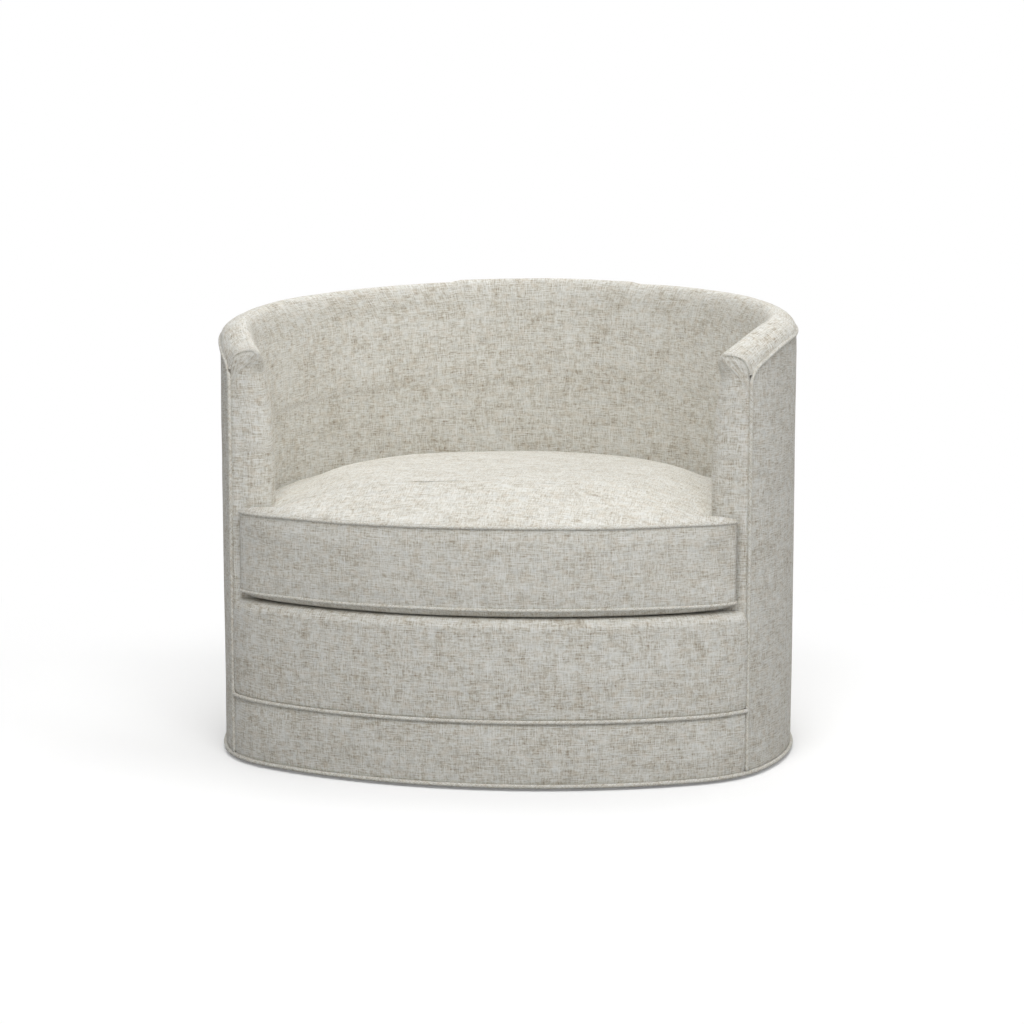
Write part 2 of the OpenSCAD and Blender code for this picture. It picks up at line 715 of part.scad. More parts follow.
// Section of the seat rail's front, rounded over to the deck, drawn in by a depth
module rail_section(t, bottom, back) {
    translate([-back, bottom]) square([back - t, deck_z - rail_edge_r - bottom]);
    translate([-back, bottom]) square([back - rail_edge_r, deck_z - t - bottom]);
    translate([-rail_edge_r, deck_z - rail_edge_r]) circle(rail_edge_r - t);
}

seam_gap = asin((welt_r + gap) / (corner_r - cover_t));
front_from = -180 + seam_angle + seam_gap;
front_to = -seam_angle - seam_gap;

module rail_cover() color(FABRIC)
    difference() {
        sweep(front_from, front_to)
            difference() {
                rail_section(0, mid_welt_z + welt_r + gap, rail_out);
                rail_section(cover_t, 0, rail_out + 1);
            }
        // The flap over the rail stops at the fronts of the arms
        translate([-FAR, seam_y - gap, deck_z - rail_edge_r]) cube([2 * FAR, FAR, FAR]);
    }

module front_padding() color(FOAM)
    intersection() {
        sweep(front_from, front_to)
            difference() {
                union() {
                    rail_section(front_pad_in, board_top + 4, rail_out);
                    translate([-frame_inset + gap, frame_bottom]) square([frame_inset - gap - front_pad_in, board_top + 5 - frame_bottom]);
                }
                translate([-rail_out - 1, 0]) square([rail_t + 1 + gap, rail_top + gap]);
                // Room for the cord of the mid welt
                translate([welt_out, mid_welt_z]) circle(welt_r + gap, $fn = 24);
            }
        in_front_of(seam_y - gap);
    }

module base_band() color(FABRIC)
    sweep(front_from, front_to)
        translate([-cover_t, cover_bottom]) square([cover_t, mid_welt_z - welt_r - gap - cover_bottom]);

// Welt round the top edge, turned down into both front seams
seam_foot_z = cover_bottom + 1;
function edge_node(dir, z) = [concat(rim(dir, 0.5), [z]), [cos(dir), sin(dir), 0]];
SEAM_RUN = [for (z = [seam_foot_z, edge_z(seam_y) - welt_turn_r - 20]) edge_node(-seam_angle, z)];
SEAM_TURN = [for (a = [0:15:75])
    let(y = seam_y + welt_turn_r * (1 - cos(a)))
        edge_node(asin((y - corner_y) / corner_r), edge_z(y) - welt_turn_r * (1 - sin(a)))];
EDGE_RUN = [for (dir = EDGE_DIRS) edge_node(dir, edge_z(rim(dir)[1]))];
function mirrored(path) = [for (p = reverse(path)) [[-p[0][0], p[0][1], p[0][2]], [-p[1][0], p[1][1], 0]]];

module edge_welt() color(WELT)
    skin(cord_rings(concat(SEAM_RUN, SEAM_TURN, EDGE_RUN, mirrored(SEAM_TURN), mirrored(SEAM_RUN)), welt_r, 8));

module mid_welt() color(WELT)
    sweep(front_from, front_to) translate([welt_out, mid_welt_z]) circle(welt_r, $fn = 24);

module bottom_welt() color(WELT)
    sweep(-180 - side_dir, 180 - side_dir) translate([-0.5, floor_gap + welt_r]) circle(welt_r, $fn = 24);

// The cushion's plan, as points of its right half from the front to the back, drawn in by an inset
FRONT_POINTS = 7;
BACK_POINTS = 12;
function tip_y(inset) = ear_back_y - inset - ear_tilt - ear_tip_r;
function tip_x(inset) =
    corner_x + sqrt(pow(corner_r - cushion_gap - inset - ear_tip_r, 2) - pow(tip_y(inset) - corner_y, 2));
function tee_half(inset) =
    let(
        tx = tip_x(inset),
        ty = tip_y(inset),
        tip_dir = atan2(ty - corner_y, tx - corner_x),
        back_y = ear_back_y - inset,
        r = cushion_r - inset,
        notch_dir = asin(back_y / r)
    )
    concat(
        [for (i = [0:FRONT_POINTS]) rim(lerp(-90, tip_dir, i / FRONT_POINTS), cushion_gap + inset)],
        [for (a = [-10, 35, 90]) [tx + ear_tip_r * cos(a), ty + ear_tip_r * sin(a)]],
        [for (i = [0:BACK_POINTS]) let(a = lerp(notch_dir, 90, i / BACK_POINTS)) r * [cos(a), sin(a)]]
    );
function tee(inset) =
    let(half = tee_half(inset), n = len(half))
        concat(half, [for (i = [n - 2:-1:1]) [-half[i][0], half[i][1]]]);
function shrink(ring, share, z) = [for (p = ring)
    let(q = lerp(cushion_focus, p, share)) [q[0], q[1], z(share, q)]];

// Heights of the crowned top and the nearly flat underside, at a share of the way out from the focus
function dome(q) = 1 - pow(min(1, norm([q[0], q[1] - 25]) / 425), 2.6);
function top_at(share, q, t) = cushion_top_z - t + (crown_h - cushion_welt_r) * dome(q) * (1 - pow(share, 9));
function under_at(share, t) = cushion_bottom_z + t - (cushion_lift - gap) * (1 - pow(share, 14));

// The cushion's form, drawn in by a wrap thickness
module cushion_form(t, pull, top_shares, side_shares, under_shares) {
    edge = tee(cover_in + t);
    top = [for (s = top_shares) shrink(edge, s, function(share, q) top_at(share, q, t))];
    side = [for (s = side_shares)
        let(ring = tee(cover_in + t + pull * sin(180 * s)))
            [for (p = ring) [p[0], p[1], lerp(cushion_top_z - t, cushion_bottom_z + t, s)]]];
    under = [for (s = under_shares) shrink(edge, s, function(share, q) under_at(share, t))];
    skin(concat(top, side, under));
}

TOP_SHARES = [0.06, 0.3, 0.52, 0.7, 0.83, 0.92, 0.97, 1];
UNDER_SHARES = [1, 0.95, 0.86, 0.5];

module cushion_core() color(FOAM)
    cushion_form(wrap_t + boxing_pull + gap, 0, [0.06, 0.4, 0.66, 0.84, 0.95, 1], [], [1, 0.9, 0.6]);

module cushion_cover() color(FABRIC)
    difference() {
        cushion_form(0, boxing_pull, TOP_SHARES, [0.2, 0.5, 0.8], UNDER_SHARES);
        cushion_form(wrap_t + boxing_pull, 0, [0.06, 0.4, 0.66, 0.84, 0.95, 1], [], [1, 0.9, 0.6]);
    }

// Welts of the cushion: closed rings of cord
function outward(ring, i) =
    let(n = len(ring), along = unit(ring[(i + 1) % n] - ring[(i + n - 1) % n])) [along[1], -along[0], 0];
module cushion_cord(z, sides) {
    ring = tee(cushion_welt_r);
    n = len(ring);
    rings = [for (i = [0:n - 1])
        let(normal = outward(ring, i)) ring_at(concat(ring[i], [z]), normal, [-normal[1], normal[0], 0], cushion_welt_r, sides)];
    points = [for (r = rings) for (p = r) p];
    polyhedron(points = points, faces = [for (i = [0:n - 1]) for (j = [0:sides - 1])
        let(k = (j + 1) % sides, m = (i + 1) % n, a = i * sides + j, b = i * sides + k, c = m * sides + j, d = m * sides + k)
            for (f = [[a, b, d], [a, d, c]]) f]);
}

module cushion_top_welt() color(WELT) cushion_cord(cushion_top_z, 6);

module cushion_bottom_welt() color(WELT) cushion_cord(cushion_bottom_z, 6);

// Zip in the boxing behind the cushion: tape and coil, with the slider at its closed end
zip_z = (cushion_top_z + cushion_bottom_z) / 2;
zip_r = cushion_r - cover_in - boxing_pull + gap + 0.3;
tape_t = 1;
coil_t = 1.6;
coil_w = 5;

module zip_arc(angle) {
    rotate([0, 0, 90 - zip_angle / 2]) rotate_extrude(angle = angle) children();
}

module zip_tape() color("#b5b0a4")
    zip_arc(zip_angle) {
        translate([zip_r, zip_z - zip_w / 2]) square([tape_t, zip_w]);
        translate([zip_r + tape_t, zip_z - coil_w / 2]) square([coil_t, coil_w]);
    }

module zip_slider() color(STEEL) {
    slider_deg = 2;
    from = zip_r + tape_t + 0.2;
    rotate([0, 0, 90 - zip_angle / 2 + 0.5])
        rotate_extrude(angle = slider_deg)
            difference() {
                translate([from, zip_z - coil_w]) square([coil_t + 1.6, 2 * coil_w]);
                translate([from - 1, zip_z - coil_w / 2 - 0.2]) square([coil_t + 1.2, coil_w + 0.4]);
            }
    rotate([0, 0, 90 - zip_angle / 2 + 0.9])
        rotate_extrude(angle = slider_deg * 0.6)
            translate([from + coil_t + 1.6, zip_z - 26]) square([1, 30]);
}

floor_ring();
base_ring();
base_spokes();
hub_boss();
lower_race();
king_pin();
king_pin_washer();
king_pin_nut();
ball_cage();
bearing_balls();
upper_race();
race_bolts();
swivel_board();
kick_band();
front_rail();
front_post_left();
front_post_right();
back_posts();
top_rail();
seat_ring();
glue_blocks();
seat_springs();
spring_clips();
deck_felt();
deck_cover();
dust_cover();
outside_panel();
wall_padding();
inside_cover();
outside_cover();
arm_front_left();
arm_front_right();
front_padding();
rail_cover();
base_band();
edge_welt();
mid_welt();
bottom_welt();
cushion_core();
cushion_cover();
cushion_top_welt();
cushion_bottom_welt();
zip_tape();
zip_slider();
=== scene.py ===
"""A barrel swivel chair in heathered linen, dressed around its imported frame. Metres and radians throughout.

A direction is the angle of the shell's outward normal in plan, from +X towards +Y. An inset is a distance
inwards from the shell's outside face. A grid is an array of points in rows and columns.
"""

import json
import math

import bmesh
import bpy
import numpy as np
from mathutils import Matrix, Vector
from mathutils.kdtree import KDTree


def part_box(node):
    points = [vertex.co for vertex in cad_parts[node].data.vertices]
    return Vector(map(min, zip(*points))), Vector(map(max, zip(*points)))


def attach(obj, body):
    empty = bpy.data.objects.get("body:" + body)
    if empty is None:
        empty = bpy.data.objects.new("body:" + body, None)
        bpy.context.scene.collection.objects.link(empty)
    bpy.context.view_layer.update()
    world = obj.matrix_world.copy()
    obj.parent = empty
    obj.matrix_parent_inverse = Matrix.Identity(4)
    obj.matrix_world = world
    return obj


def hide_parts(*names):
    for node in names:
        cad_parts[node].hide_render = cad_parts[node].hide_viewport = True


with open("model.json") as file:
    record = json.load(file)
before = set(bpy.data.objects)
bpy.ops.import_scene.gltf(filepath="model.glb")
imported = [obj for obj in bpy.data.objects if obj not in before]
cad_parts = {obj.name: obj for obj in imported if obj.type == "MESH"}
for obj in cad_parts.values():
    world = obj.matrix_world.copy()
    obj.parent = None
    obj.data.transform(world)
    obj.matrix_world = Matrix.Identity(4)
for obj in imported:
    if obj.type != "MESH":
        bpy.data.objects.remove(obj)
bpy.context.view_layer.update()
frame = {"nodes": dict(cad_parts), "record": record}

# ---------------------------------------------------------------- driving sizes, as in the part's source
SHELL_R = 0.430
FRONT_DEPTH = 0.335
FRONT_R = 0.6675
CORNER_R = 0.183
SEAM_DIR = math.radians(-35)
BACK_TOP = 0.664
TOP_TILT = math.radians(5.1)
ARM_DROP_FROM = 0.070
ARM_DROP_R = 0.330
WELT_TURN_R = 0.018
ROLL_RISE = 0.025
ROLL_IN = 0.033
ROLL_FOOT = 0.016
ARM_T = 0.060
ARM_LEAN = 0.010
LEAN_DEPTH = 0.140
RAIL_EDGE_R = 0.014
WELT_R = 0.003
CUSHION_GAP = 0.0016
EAR_TIP_R = 0.0045
EAR_TILT = 0.003
CUSHION_WELT_R = 0.0025
CUSHION_EDGE_INSET = CUSHION_WELT_R * 0.6

MID_WELT_Z = sum(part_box("mid_welt")[i].z for i in (0, 1)) / 2
BOTTOM_WELT_Z = sum(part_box("bottom_welt")[i].z for i in (0, 1)) / 2
DECK_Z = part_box("rail_cover")[1].z
CUSHION_TOP_Z = sum(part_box("cushion_top_welt")[i].z for i in (0, 1)) / 2
CUSHION_BOTTOM_Z = sum(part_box("cushion_bottom_welt")[i].z for i in (0, 1)) / 2
ZIP_Z = (CUSHION_TOP_Z + CUSHION_BOTTOM_Z) / 2

# ---------------------------------------------------------------- looks of the soft goods
ARM_FACE_Y = -0.2015
ARM_DOME = 0.0028
ARM_DOME_REACH = 0.018
BELOW_DECK = 0.013
ARM_CAP_R = 0.004
ARM_ROUND_IN = 0.036
ARM_ROUND_BACK = 0.038
ARM_ROUND_FROM = 0.055
ARM_SWELL = 0.011
NOTCH_X = 0.150
NOTCH_RISE = 0.003
BACK_SEAM_DIR = math.radians(62)
BACK_SEAM_REACH = 0.022
BACK_SEAM_DEPTH = 0.0013
BACK_SEAM_SWELL = 0.0005
COVER_WAVE = 0.0009
CREASE_DEPTH = 0.0016
CREASE_REACH = 0.0028
# How far a cover stops short of a front seam's middle, under its welt
WELT_TUCK = WELT_R + 0.0003
# A welt's share of its radius at which the covers beside it end
WELT_SHARE = 0.9
# Rows of the inside cover's section on the upright part of the wall
WALL_ROWS = 26
CAP_SEAM_DEPTH = 0.0013
CAP_SEAM_REACH = 0.0011
RAIL_PUFF = 0.0016
BAND_PUFF = 0.0009
# How far the rail cover runs back under the cushion
RAIL_BACK = 0.16
DECK_FRONT_Y = -0.205
DECK_SAG = 0.0006
SPRING_PITCH = 0.084
EDGE_WELT_R = 0.0031
MID_WELT_R = 0.0030
# How far the welts' middle lines stand inside (edge) and outside (mid and bottom) the shell's face
WELT_SINK = 0.0005

# ---------------------------------------------------------------- cushion
EAR_BACK_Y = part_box("arm_front_right")[0].y - CUSHION_GAP + 0.0004
CUSHION_FOCUS = np.array([0.0, EAR_BACK_Y + 0.014])
CUSHION_POINTS = 420
WELT_POINTS = 760
# Height of the crown: a dome over the soft distance from the edge, with a steeper flank
CROWN_FULL = 0.057
CROWN_REACH = 0.228
CROWN_POWER = 0.588
FLANK_RISE = 0.0207
FLANK_AT = 0.079
FLANK_REACH = 0.011
BOXING_PULL = 0.0030
# The cloth simulation: size of the even mesh, longest move, frames, and what it holds
SIM_VOXEL = 0.0072
SIM_CAP = 0.006
SIM_FRAMES = 20
HELD_AT_WELTS = 0.008
HELD_BEYOND_X = 0.352

# ---------------------------------------------------------------- floor, world and lamps
FLOOR_SIZE = 14.0
FLOOR_GLOW = 0.15
FLOOR_BOUNCE = 0.45
# Half width and half depth of the floor that shows its own tone
FLOOR_SEEN = (1.2, 1.0)
WORLD_FILL = 0.27
# name, place, aim, width, height, power
LIGHTS = [
    ("key", (0.3, -2.5, 3.1), (0, 0, 0.3), 2.6, 2.0, 70.0),
    ("top", (0.0, 1.3, 3.1), (0, 0, 0.4), 3.2, 2.4, 66.0),
    ("side", (3.4, -1.0, 1.7), (0, 0, 0.3), 2.0, 2.0, 26.0),
    ("front", (-0.4, -4.2, 1.2), (0, 0, 0.3), 3.0, 1.6, 20.0),
]

# ---------------------------------------------------------------- camera
CAMERA_AT = (0.5865, -3.5792, 0.8196)
CAMERA_AIM = (0.0054, 0.0009, 0.3496)
CAMERA_LENS = 84.79
CAMERA_SENSOR = 36.0


# ================================================================ plan of the shell
FRONT_CY = FRONT_R - FRONT_DEPTH
CORNER_Y = ((SHELL_R - CORNER_R) ** 2 - (FRONT_R - CORNER_R) ** 2 + FRONT_CY**2) / (2 * FRONT_CY)
CORNER_X = math.sqrt((SHELL_R - CORNER_R) ** 2 - CORNER_Y**2)
SIDE_DIR = math.atan2(CORNER_Y, CORNER_X)
FRONT_DIR = math.atan2(CORNER_Y - FRONT_CY, CORNER_X)
INNER_R = SHELL_R - ARM_T
FRONT_LENGTH = FRONT_R * (FRONT_DIR + math.pi / 2)
CORNER_LENGTH = CORNER_R * (SIDE_DIR - FRONT_DIR)


def lerp(a, b, t):
    return a + (b - a) * t


def folded(direction):
    """The direction mirrored onto the right half, and the side it came from."""
    d = (np.asarray(direction, float) + math.pi / 2) % (2 * math.pi) - math.pi / 2
    return np.where(d > math.pi / 2, math.pi - d, d), np.where(d > math.pi / 2, -1.0, 1.0)


def rim(direction, inset=0.0):
    """Point of the plan at a direction and an inset."""
    d, side = folded(direction)
    on_back, on_corner = d > SIDE_DIR, d > FRONT_DIR
    cx = np.where(on_back, 0.0, np.where(on_corner, CORNER_X, 0.0))
    cy = np.where(on_back, 0.0, np.where(on_corner, CORNER_Y, FRONT_CY))
    r = np.where(on_back, SHELL_R, np.where(on_corner, CORNER_R, FRONT_R)) - inset
    return side * (cx + r * np.cos(d)), cy + r * np.sin(d)


def rim_length(direction):
    """Distance along the plan from the middle of the front, negative on the left half."""
    d, side = folded(direction)
    front = FRONT_R * (np.minimum(d, FRONT_DIR) + math.pi / 2)
    corner = CORNER_R * (np.clip(d, FRONT_DIR, SIDE_DIR) - FRONT_DIR)
    back = SHELL_R * (np.maximum(d, SIDE_DIR) - SIDE_DIR)
    half = front + corner + back
    all_round = 2 * (FRONT_LENGTH + CORNER_LENGTH + SHELL_R * (math.pi / 2 - SIDE_DIR))
    return np.where(side > 0, half, all_round - half)


SEAM_X, SEAM_Y = (float(v) for v in rim(SEAM_DIR))


def edge_z(y):
    """Height of the edge welt along Y, before it turns down into the seams."""
    line = BACK_TOP - (SHELL_R - y) * math.tan(TOP_TILT)
    drop = ARM_DROP_R - np.sqrt(ARM_DROP_R**2 - np.minimum(y + ARM_DROP_FROM, 0) ** 2)
    return line - drop


def turn_drop(y):
    """How far the edge welt has turned down towards a front seam."""
    into = np.clip(SEAM_Y + WELT_TURN_R - y, 0, WELT_TURN_R)
    return WELT_TURN_R - np.sqrt(WELT_TURN_R**2 - into**2)


# ================================================================ grids and meshes
def clustered(n, share=0.85):
    """n values from 0 to 1, closer together at both ends."""
    x = np.linspace(0, 1, n)
    return lerp(x, 0.5 - 0.5 * np.cos(math.pi * x), share)


def with_lines(values, lines, reach, n=9):
    """The values, with finer ones round each line, for a seam there."""
    extra = [line + reach * np.sinh(np.linspace(-2, 2, n)) / math.sinh(2) for line in lines]
    kept = [v for v in values if all(abs(v - line) > reach for line in lines)]
    return np.sort(np.concatenate([kept] + extra))


def grid_normals(p):
    """Normals of a grid of points, on the side that the caller's rows and columns face."""
    down, across = np.gradient(p, axis=0), np.gradient(p, axis=1)
    n = np.cross(across, down)
    length = np.linalg.norm(n, axis=-1, keepdims=True)
    return n / np.maximum(length, 1e-12)


def field(points, size, seed):
    """Smooth noise from -1 to 1 at each point, with bumps of about that size."""
    table = np.random.default_rng(seed).uniform(-1, 1, (32, 32, 32))
    p = points.reshape(-1, 3) / size + 100
    low = np.floor(p).astype(int)
    t = p - low
    t = t * t * (3 - 2 * t)
    total = np.zeros(len(p))
    for corner in np.ndindex(2, 2, 2):
        share = np.prod(np.where(corner, t, 1 - t), axis=1)
        total += share * table[tuple(((low + corner) % 32).T)]
    return total.reshape(points.shape[:-1])


def line_distance(points, line):
    """Distance of each point from an open line of points."""
    a, ab = line[:-1], np.diff(line, axis=0)
    from_a = points[..., None, :] - a
    t = np.clip((from_a * ab).sum(-1) / np.maximum((ab**2).sum(-1), 1e-12), 0, 1)
    return np.linalg.norm(from_a - t[..., None] * ab, axis=-1).min(-1)


def bell(distance, reach):
    return np.exp(-((distance / reach) ** 2))


def crease(distance):
    """Depth of the fold where a cover runs under a welt."""
    return CREASE_DEPTH * np.exp(-distance / CREASE_REACH)


def new_mesh(name, verts, faces, uv=None, smooth=True):
    """uv gives the texture place of each corner of each face, in order."""
    mesh = bpy.data.meshes.new(name + "_look")
    mesh.from_pydata([tuple(v) for v in verts], [], faces)
    if uv is not None:
        layer = mesh.uv_layers.new(name="weave")
        layer.data.foreach_set("uv", np.asarray(uv, np.float32).ravel())
    mesh.polygons.foreach_set("use_smooth", [smooth] * len(mesh.polygons))
    mesh.update()
    obj = bpy.data.objects.new(name + "_look", mesh)
    bpy.context.scene.collection.objects.link(obj)
    return obj


def grid_mesh(name, points, uv, wrap=False, caps=False):
    """A piece from a grid; with wrap its last column joins its first, and uv then has one more column."""
    rows, cols = points.shape[:2]
    last = cols if wrap else cols - 1
    faces, corners = [], []
    for i in range(rows - 1):
        for j in range(last):
            k = (j + 1) % cols
            faces.append((i * cols + j, i * cols + k, (i + 1) * cols + k, (i + 1) * cols + j))
            corners += [uv[i, j], uv[i, j + 1], uv[i + 1, j + 1], uv[i + 1, j]]
    if caps:
        for i, order in ((0, -1), (rows - 1, 1)):
            ring = list(range(cols))[::order]
            faces.append(tuple(i * cols + j for j in ring))
            corners += [uv[i, j] for j in ring]
    return new_mesh(name, points.reshape(-1, 3), faces, corners)


def stack(x, y, z):
    return np.stack(np.broadcast_arrays(x, y, z), -1)


def vertices(mesh):
    co = np.zeros(len(mesh.vertices) * 3)
    mesh.vertices.foreach_get("co", co)
    return co.reshape(-1, 3)


def run_along(points):
    """Distance of each point from the first, along the line through them."""
    return np.concatenate([[0], np.cumsum(np.linalg.norm(np.diff(points, axis=0), axis=1))])


def dress(obj, body, slot, material, *nodes):
    """Gives a piece its body and its material, and hides the nodes it stands for; the record's slot is not
    used.
    """
    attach(obj, body)
    if nodes:
        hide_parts(*nodes)
    obj.data.materials.clear()
    obj.data.materials.append(material)
    return obj


# ================================================================ materials
class Nodes:
    """Short way to write a node tree: each call makes a node and links what it is given."""

    def __init__(self, name):
        self.material = bpy.data.materials.new(name)
        self.material.use_nodes = True
        self.tree = self.material.node_tree
        self.tree.nodes.clear()

    def set(self, socket, value):
        if isinstance(value, bpy.types.NodeSocket):
            self.tree.links.new(value, socket)
        else:
            socket.default_value = value

    def node(self, kind, inputs=(), output=0, **props):
        n = self.tree.nodes.new(kind)
        for key, value in props.items():
            setattr(n, key, value)
        for key, value in dict(inputs).items():
            self.set(n.inputs[key], value)
        return n.outputs[output]

    def math(self, operation, a, b=0.0):
        return self.node("ShaderNodeMath", {0: a, 1: b}, operation=operation)

    def uv(self):
        return self.node("ShaderNodeUVMap", uv_map="weave")

    def place(self):
        return self.node("ShaderNodeTexCoord", output=3)

    def scaled(self, vector, scale, turn=0.0, shift=(0, 0, 0)):
        return self.node(
            "ShaderNodeMapping",
            {"Vector": vector, "Scale": scale, "Rotation": (0, 0, turn), "Location": shift},
        )

    def noise(self, vector, scale=1.0, detail=2.0, roughness=0.5):
        return self.node(
            "ShaderNodeTexNoise", {"Vector": vector, "Scale": scale, "Detail": detail, "Roughness": roughness}
        )

    def range(self, value, low, high, to_low=0.0, to_high=1.0):
        inputs = {0: value, 1: low, 2: high, 3: to_low, 4: to_high}
        return self.node("ShaderNodeMapRange", inputs, clamp=True, interpolation_type="SMOOTHSTEP")

    def parts(self, vector):
        """The three parts of a vector."""
        n = self.tree.nodes.new("ShaderNodeSeparateXYZ")
        self.set(n.inputs[0], vector)
        return n.outputs

    def mix(self, factor, a, b):
        n = self.tree.nodes.new("ShaderNodeMix")
        n.data_type = "RGBA"
        for socket, value in ((n.inputs[0], factor), (n.inputs[6], a), (n.inputs[7], b)):
            self.set(socket, value)
        return n.outputs[2]

    def bump(self, height, distance, strength):
        return self.node("ShaderNodeBump", {"Height": height, "Distance": distance, "Strength": strength})

    def shader(self, **inputs):
        n = self.tree.nodes.new("ShaderNodeBsdfPrincipled")
        for key, value in inputs.items():
            self.set(n.inputs[key.replace("_", " ")], value)
        out = self.tree.nodes.new("ShaderNodeOutputMaterial")
        self.tree.links.new(n.outputs[0], out.inputs[0])
        return self.material


def rgb(r, g, b):
    return (r, g, b, 1.0)


THREAD_PITCH = 0.0013
# Colours of the linen's yarns, from the darkest slubs to the palest threads, each with its place on the scale
YARN_TONES = [
    (0.10, rgb(0.260, 0.207, 0.145)),
    (0.32, rgb(0.455, 0.405, 0.328)),
    (0.47, rgb(0.590, 0.562, 0.492)),
    (0.60, rgb(0.690, 0.678, 0.622)),
    (0.85, rgb(0.810, 0.806, 0.770)),
]
YARN_WARM = rgb(0.665, 0.590, 0.485)
YARN_COOL = rgb(0.612, 0.625, 0.610)
YARN_HUES = 0.28
LINEN_TONE = 0.56
# How much each layer of streaks moves the tone
WARP_GAIN, WEFT_GAIN, SPECK_GAIN = 1.00, 1.10, 0.60
MOTTLE_GAIN, BAND_GAIN, BROAD_GAIN, PALE_GAIN = 0.34, 0.34, 0.34, 0.19


def linen(name, turn=0.0, contrast=1.0, blotch=1.0):
    """Heathered linen: slubby warp and weft in a plain weave, tan flecks in soft patches, a little sheen."""
    n = Nodes(name)
    at = n.scaled(n.uv(), (1, 1, 1), turn)

    def streaks(scale, shift, detail=2.0):
        place = n.scaled(at, scale + (1.0,), shift=(shift, shift * 1.7, shift))
        return n.noise(place, detail=detail, roughness=0.6)

    def signed(value, gain):
        return n.math("MULTIPLY", n.math("SUBTRACT", value, 0.5), gain)

    u, v, _ = n.parts(at)
    wave_u = n.math("SINE", n.math("MULTIPLY", u, math.pi / THREAD_PITCH))
    wave_v = n.math("SINE", n.math("MULTIPLY", v, math.pi / THREAD_PITCH))
    over = n.range(n.math("MULTIPLY", wave_u, wave_v), -0.25, 0.25)
    warp, weft = streaks((650.0, 72.0), 3.0, 3.0), streaks((62.0, 620.0), 11.0, 3.0)
    warp_share = n.range(over, 0.0, 1.0, 1.35, 0.75)
    weft_share = n.range(over, 0.0, 1.0, 0.75, 1.35)
    tone = n.math("ADD", n.math("MULTIPLY", signed(warp, WARP_GAIN * contrast), warp_share), LINEN_TONE)
    tone = n.math("ADD", tone, n.math("MULTIPLY", signed(weft, WEFT_GAIN * contrast), weft_share))
    speck = streaks((330.0, 360.0), 23.0)
    mottle = streaks((62.0, 78.0), 31.0, 3.0)
    broad = streaks((15.0, 20.0), 47.0)
    bands = n.math("ADD", streaks((120.0, 17.0), 37.0), streaks((17.0, 130.0), 41.0))
    tone = n.math("ADD", tone, signed(speck, SPECK_GAIN * contrast))
    tone = n.math("ADD", tone, signed(mottle, MOTTLE_GAIN * blotch))
    bands = n.math("SUBTRACT", bands, 1.0)
    tone = n.math("ADD", tone, n.math("MULTIPLY", bands, BAND_GAIN * blotch))
    tone = n.math("ADD", tone, signed(broad, BROAD_GAIN * blotch))
    # Long pale threads, one way and the other
    pale_warp = n.range(streaks((520.0, 16.0), 59.0, 1.0), 0.61, 0.73)
    pale_weft = n.range(streaks((16.0, 520.0), 67.0, 1.0), 0.61, 0.73)
    pale = n.math("MAXIMUM", pale_warp, pale_weft)
    tone = n.math("ADD", tone, n.math("MULTIPLY", pale, PALE_GAIN * contrast))
    ramp = n.tree.nodes.new("ShaderNodeValToRGB")
    marks = ramp.color_ramp.elements
    for i, (place, colour) in enumerate(YARN_TONES):
        mark = marks[i] if i < len(marks) else marks.new(place)
        mark.position, mark.color = place, colour
    n.set(ramp.inputs[0], tone)
    hue = streaks((70.0, 90.0), 83.0)
    colour = n.mix(n.range(hue, 0.50, 0.68, 0.0, YARN_HUES), ramp.outputs[0], YARN_WARM)
    colour = n.mix(n.range(hue, 0.48, 0.32, 0.0, YARN_HUES), colour, YARN_COOL)
    relief = n.math("MULTIPLY", n.math("ABSOLUTE", wave_u), n.math("ABSOLUTE", wave_v))
    relief = n.math("ADD", relief, n.math("MULTIPLY", n.math("ADD", warp, weft), 1.1))
    return n.shader(
        Base_Color=colour,
        Roughness=0.92,
        Specular_IOR_Level=0.18,
        Sheen_Weight=0.12,
        Sheen_Roughness=0.45,
        Sheen_Tint=rgb(1.0, 0.98, 0.95),
        Normal=n.bump(relief, 0.0004, 0.6),
    )


def wood(name, light, dark, ring=9.0, stretch=(1.0, 1.0, 0.12)):
    n = Nodes(name)
    at = n.scaled(n.place(), tuple(v * 90 for v in stretch))
    grain = n.noise(at, detail=5.0, roughness=0.65)
    pores = n.noise(n.scaled(n.place(), tuple(v * 900 for v in stretch)), detail=2.0)
    lines = n.math("SINE", n.math("MULTIPLY", grain, ring * 2 * math.pi))
    colour = n.mix(n.range(lines, -1.0, 1.0, 0.0, 0.65), light, dark)
    colour = n.mix(n.range(pores, 0.58, 0.72, 0.0, 0.5), colour, dark)
    rough = n.range(grain, 0.3, 0.7, 0.5, 0.68)
    return n.shader(Base_Color=colour, Roughness=rough, Normal=n.bump(pores, 0.0002, 0.4))


# Thickness of one dark ply and one light ply
PLY_PAIR = 0.003


def plywood(name):
    """Plywood: a plain grain on its faces, and thin plies on its edges."""
    n = Nodes(name)
    plies = n.math("SINE", n.math("MULTIPLY", n.parts(n.place())[2], 2 * math.pi / PLY_PAIR))
    grain = n.noise(n.scaled(n.place(), (160.0, 14.0, 160.0)), detail=4.0, roughness=0.6)
    face = n.mix(n.range(grain, 0.35, 0.70), rgb(0.62, 0.45, 0.27), rgb(0.46, 0.31, 0.17))
    edge = n.mix(n.range(plies, -0.3, 0.3), rgb(0.60, 0.43, 0.26), rgb(0.33, 0.21, 0.12))
    facing = n.parts(n.node("ShaderNodeNewGeometry", output=1))
    upright = n.range(n.math("ABSOLUTE", facing[2]), 0.3, 0.7)
    return n.shader(
        Base_Color=n.mix(upright, edge, face),
        Roughness=n.range(grain, 0.3, 0.7, 0.55, 0.7),
        Normal=n.bump(grain, 0.0002, 0.3),
    )


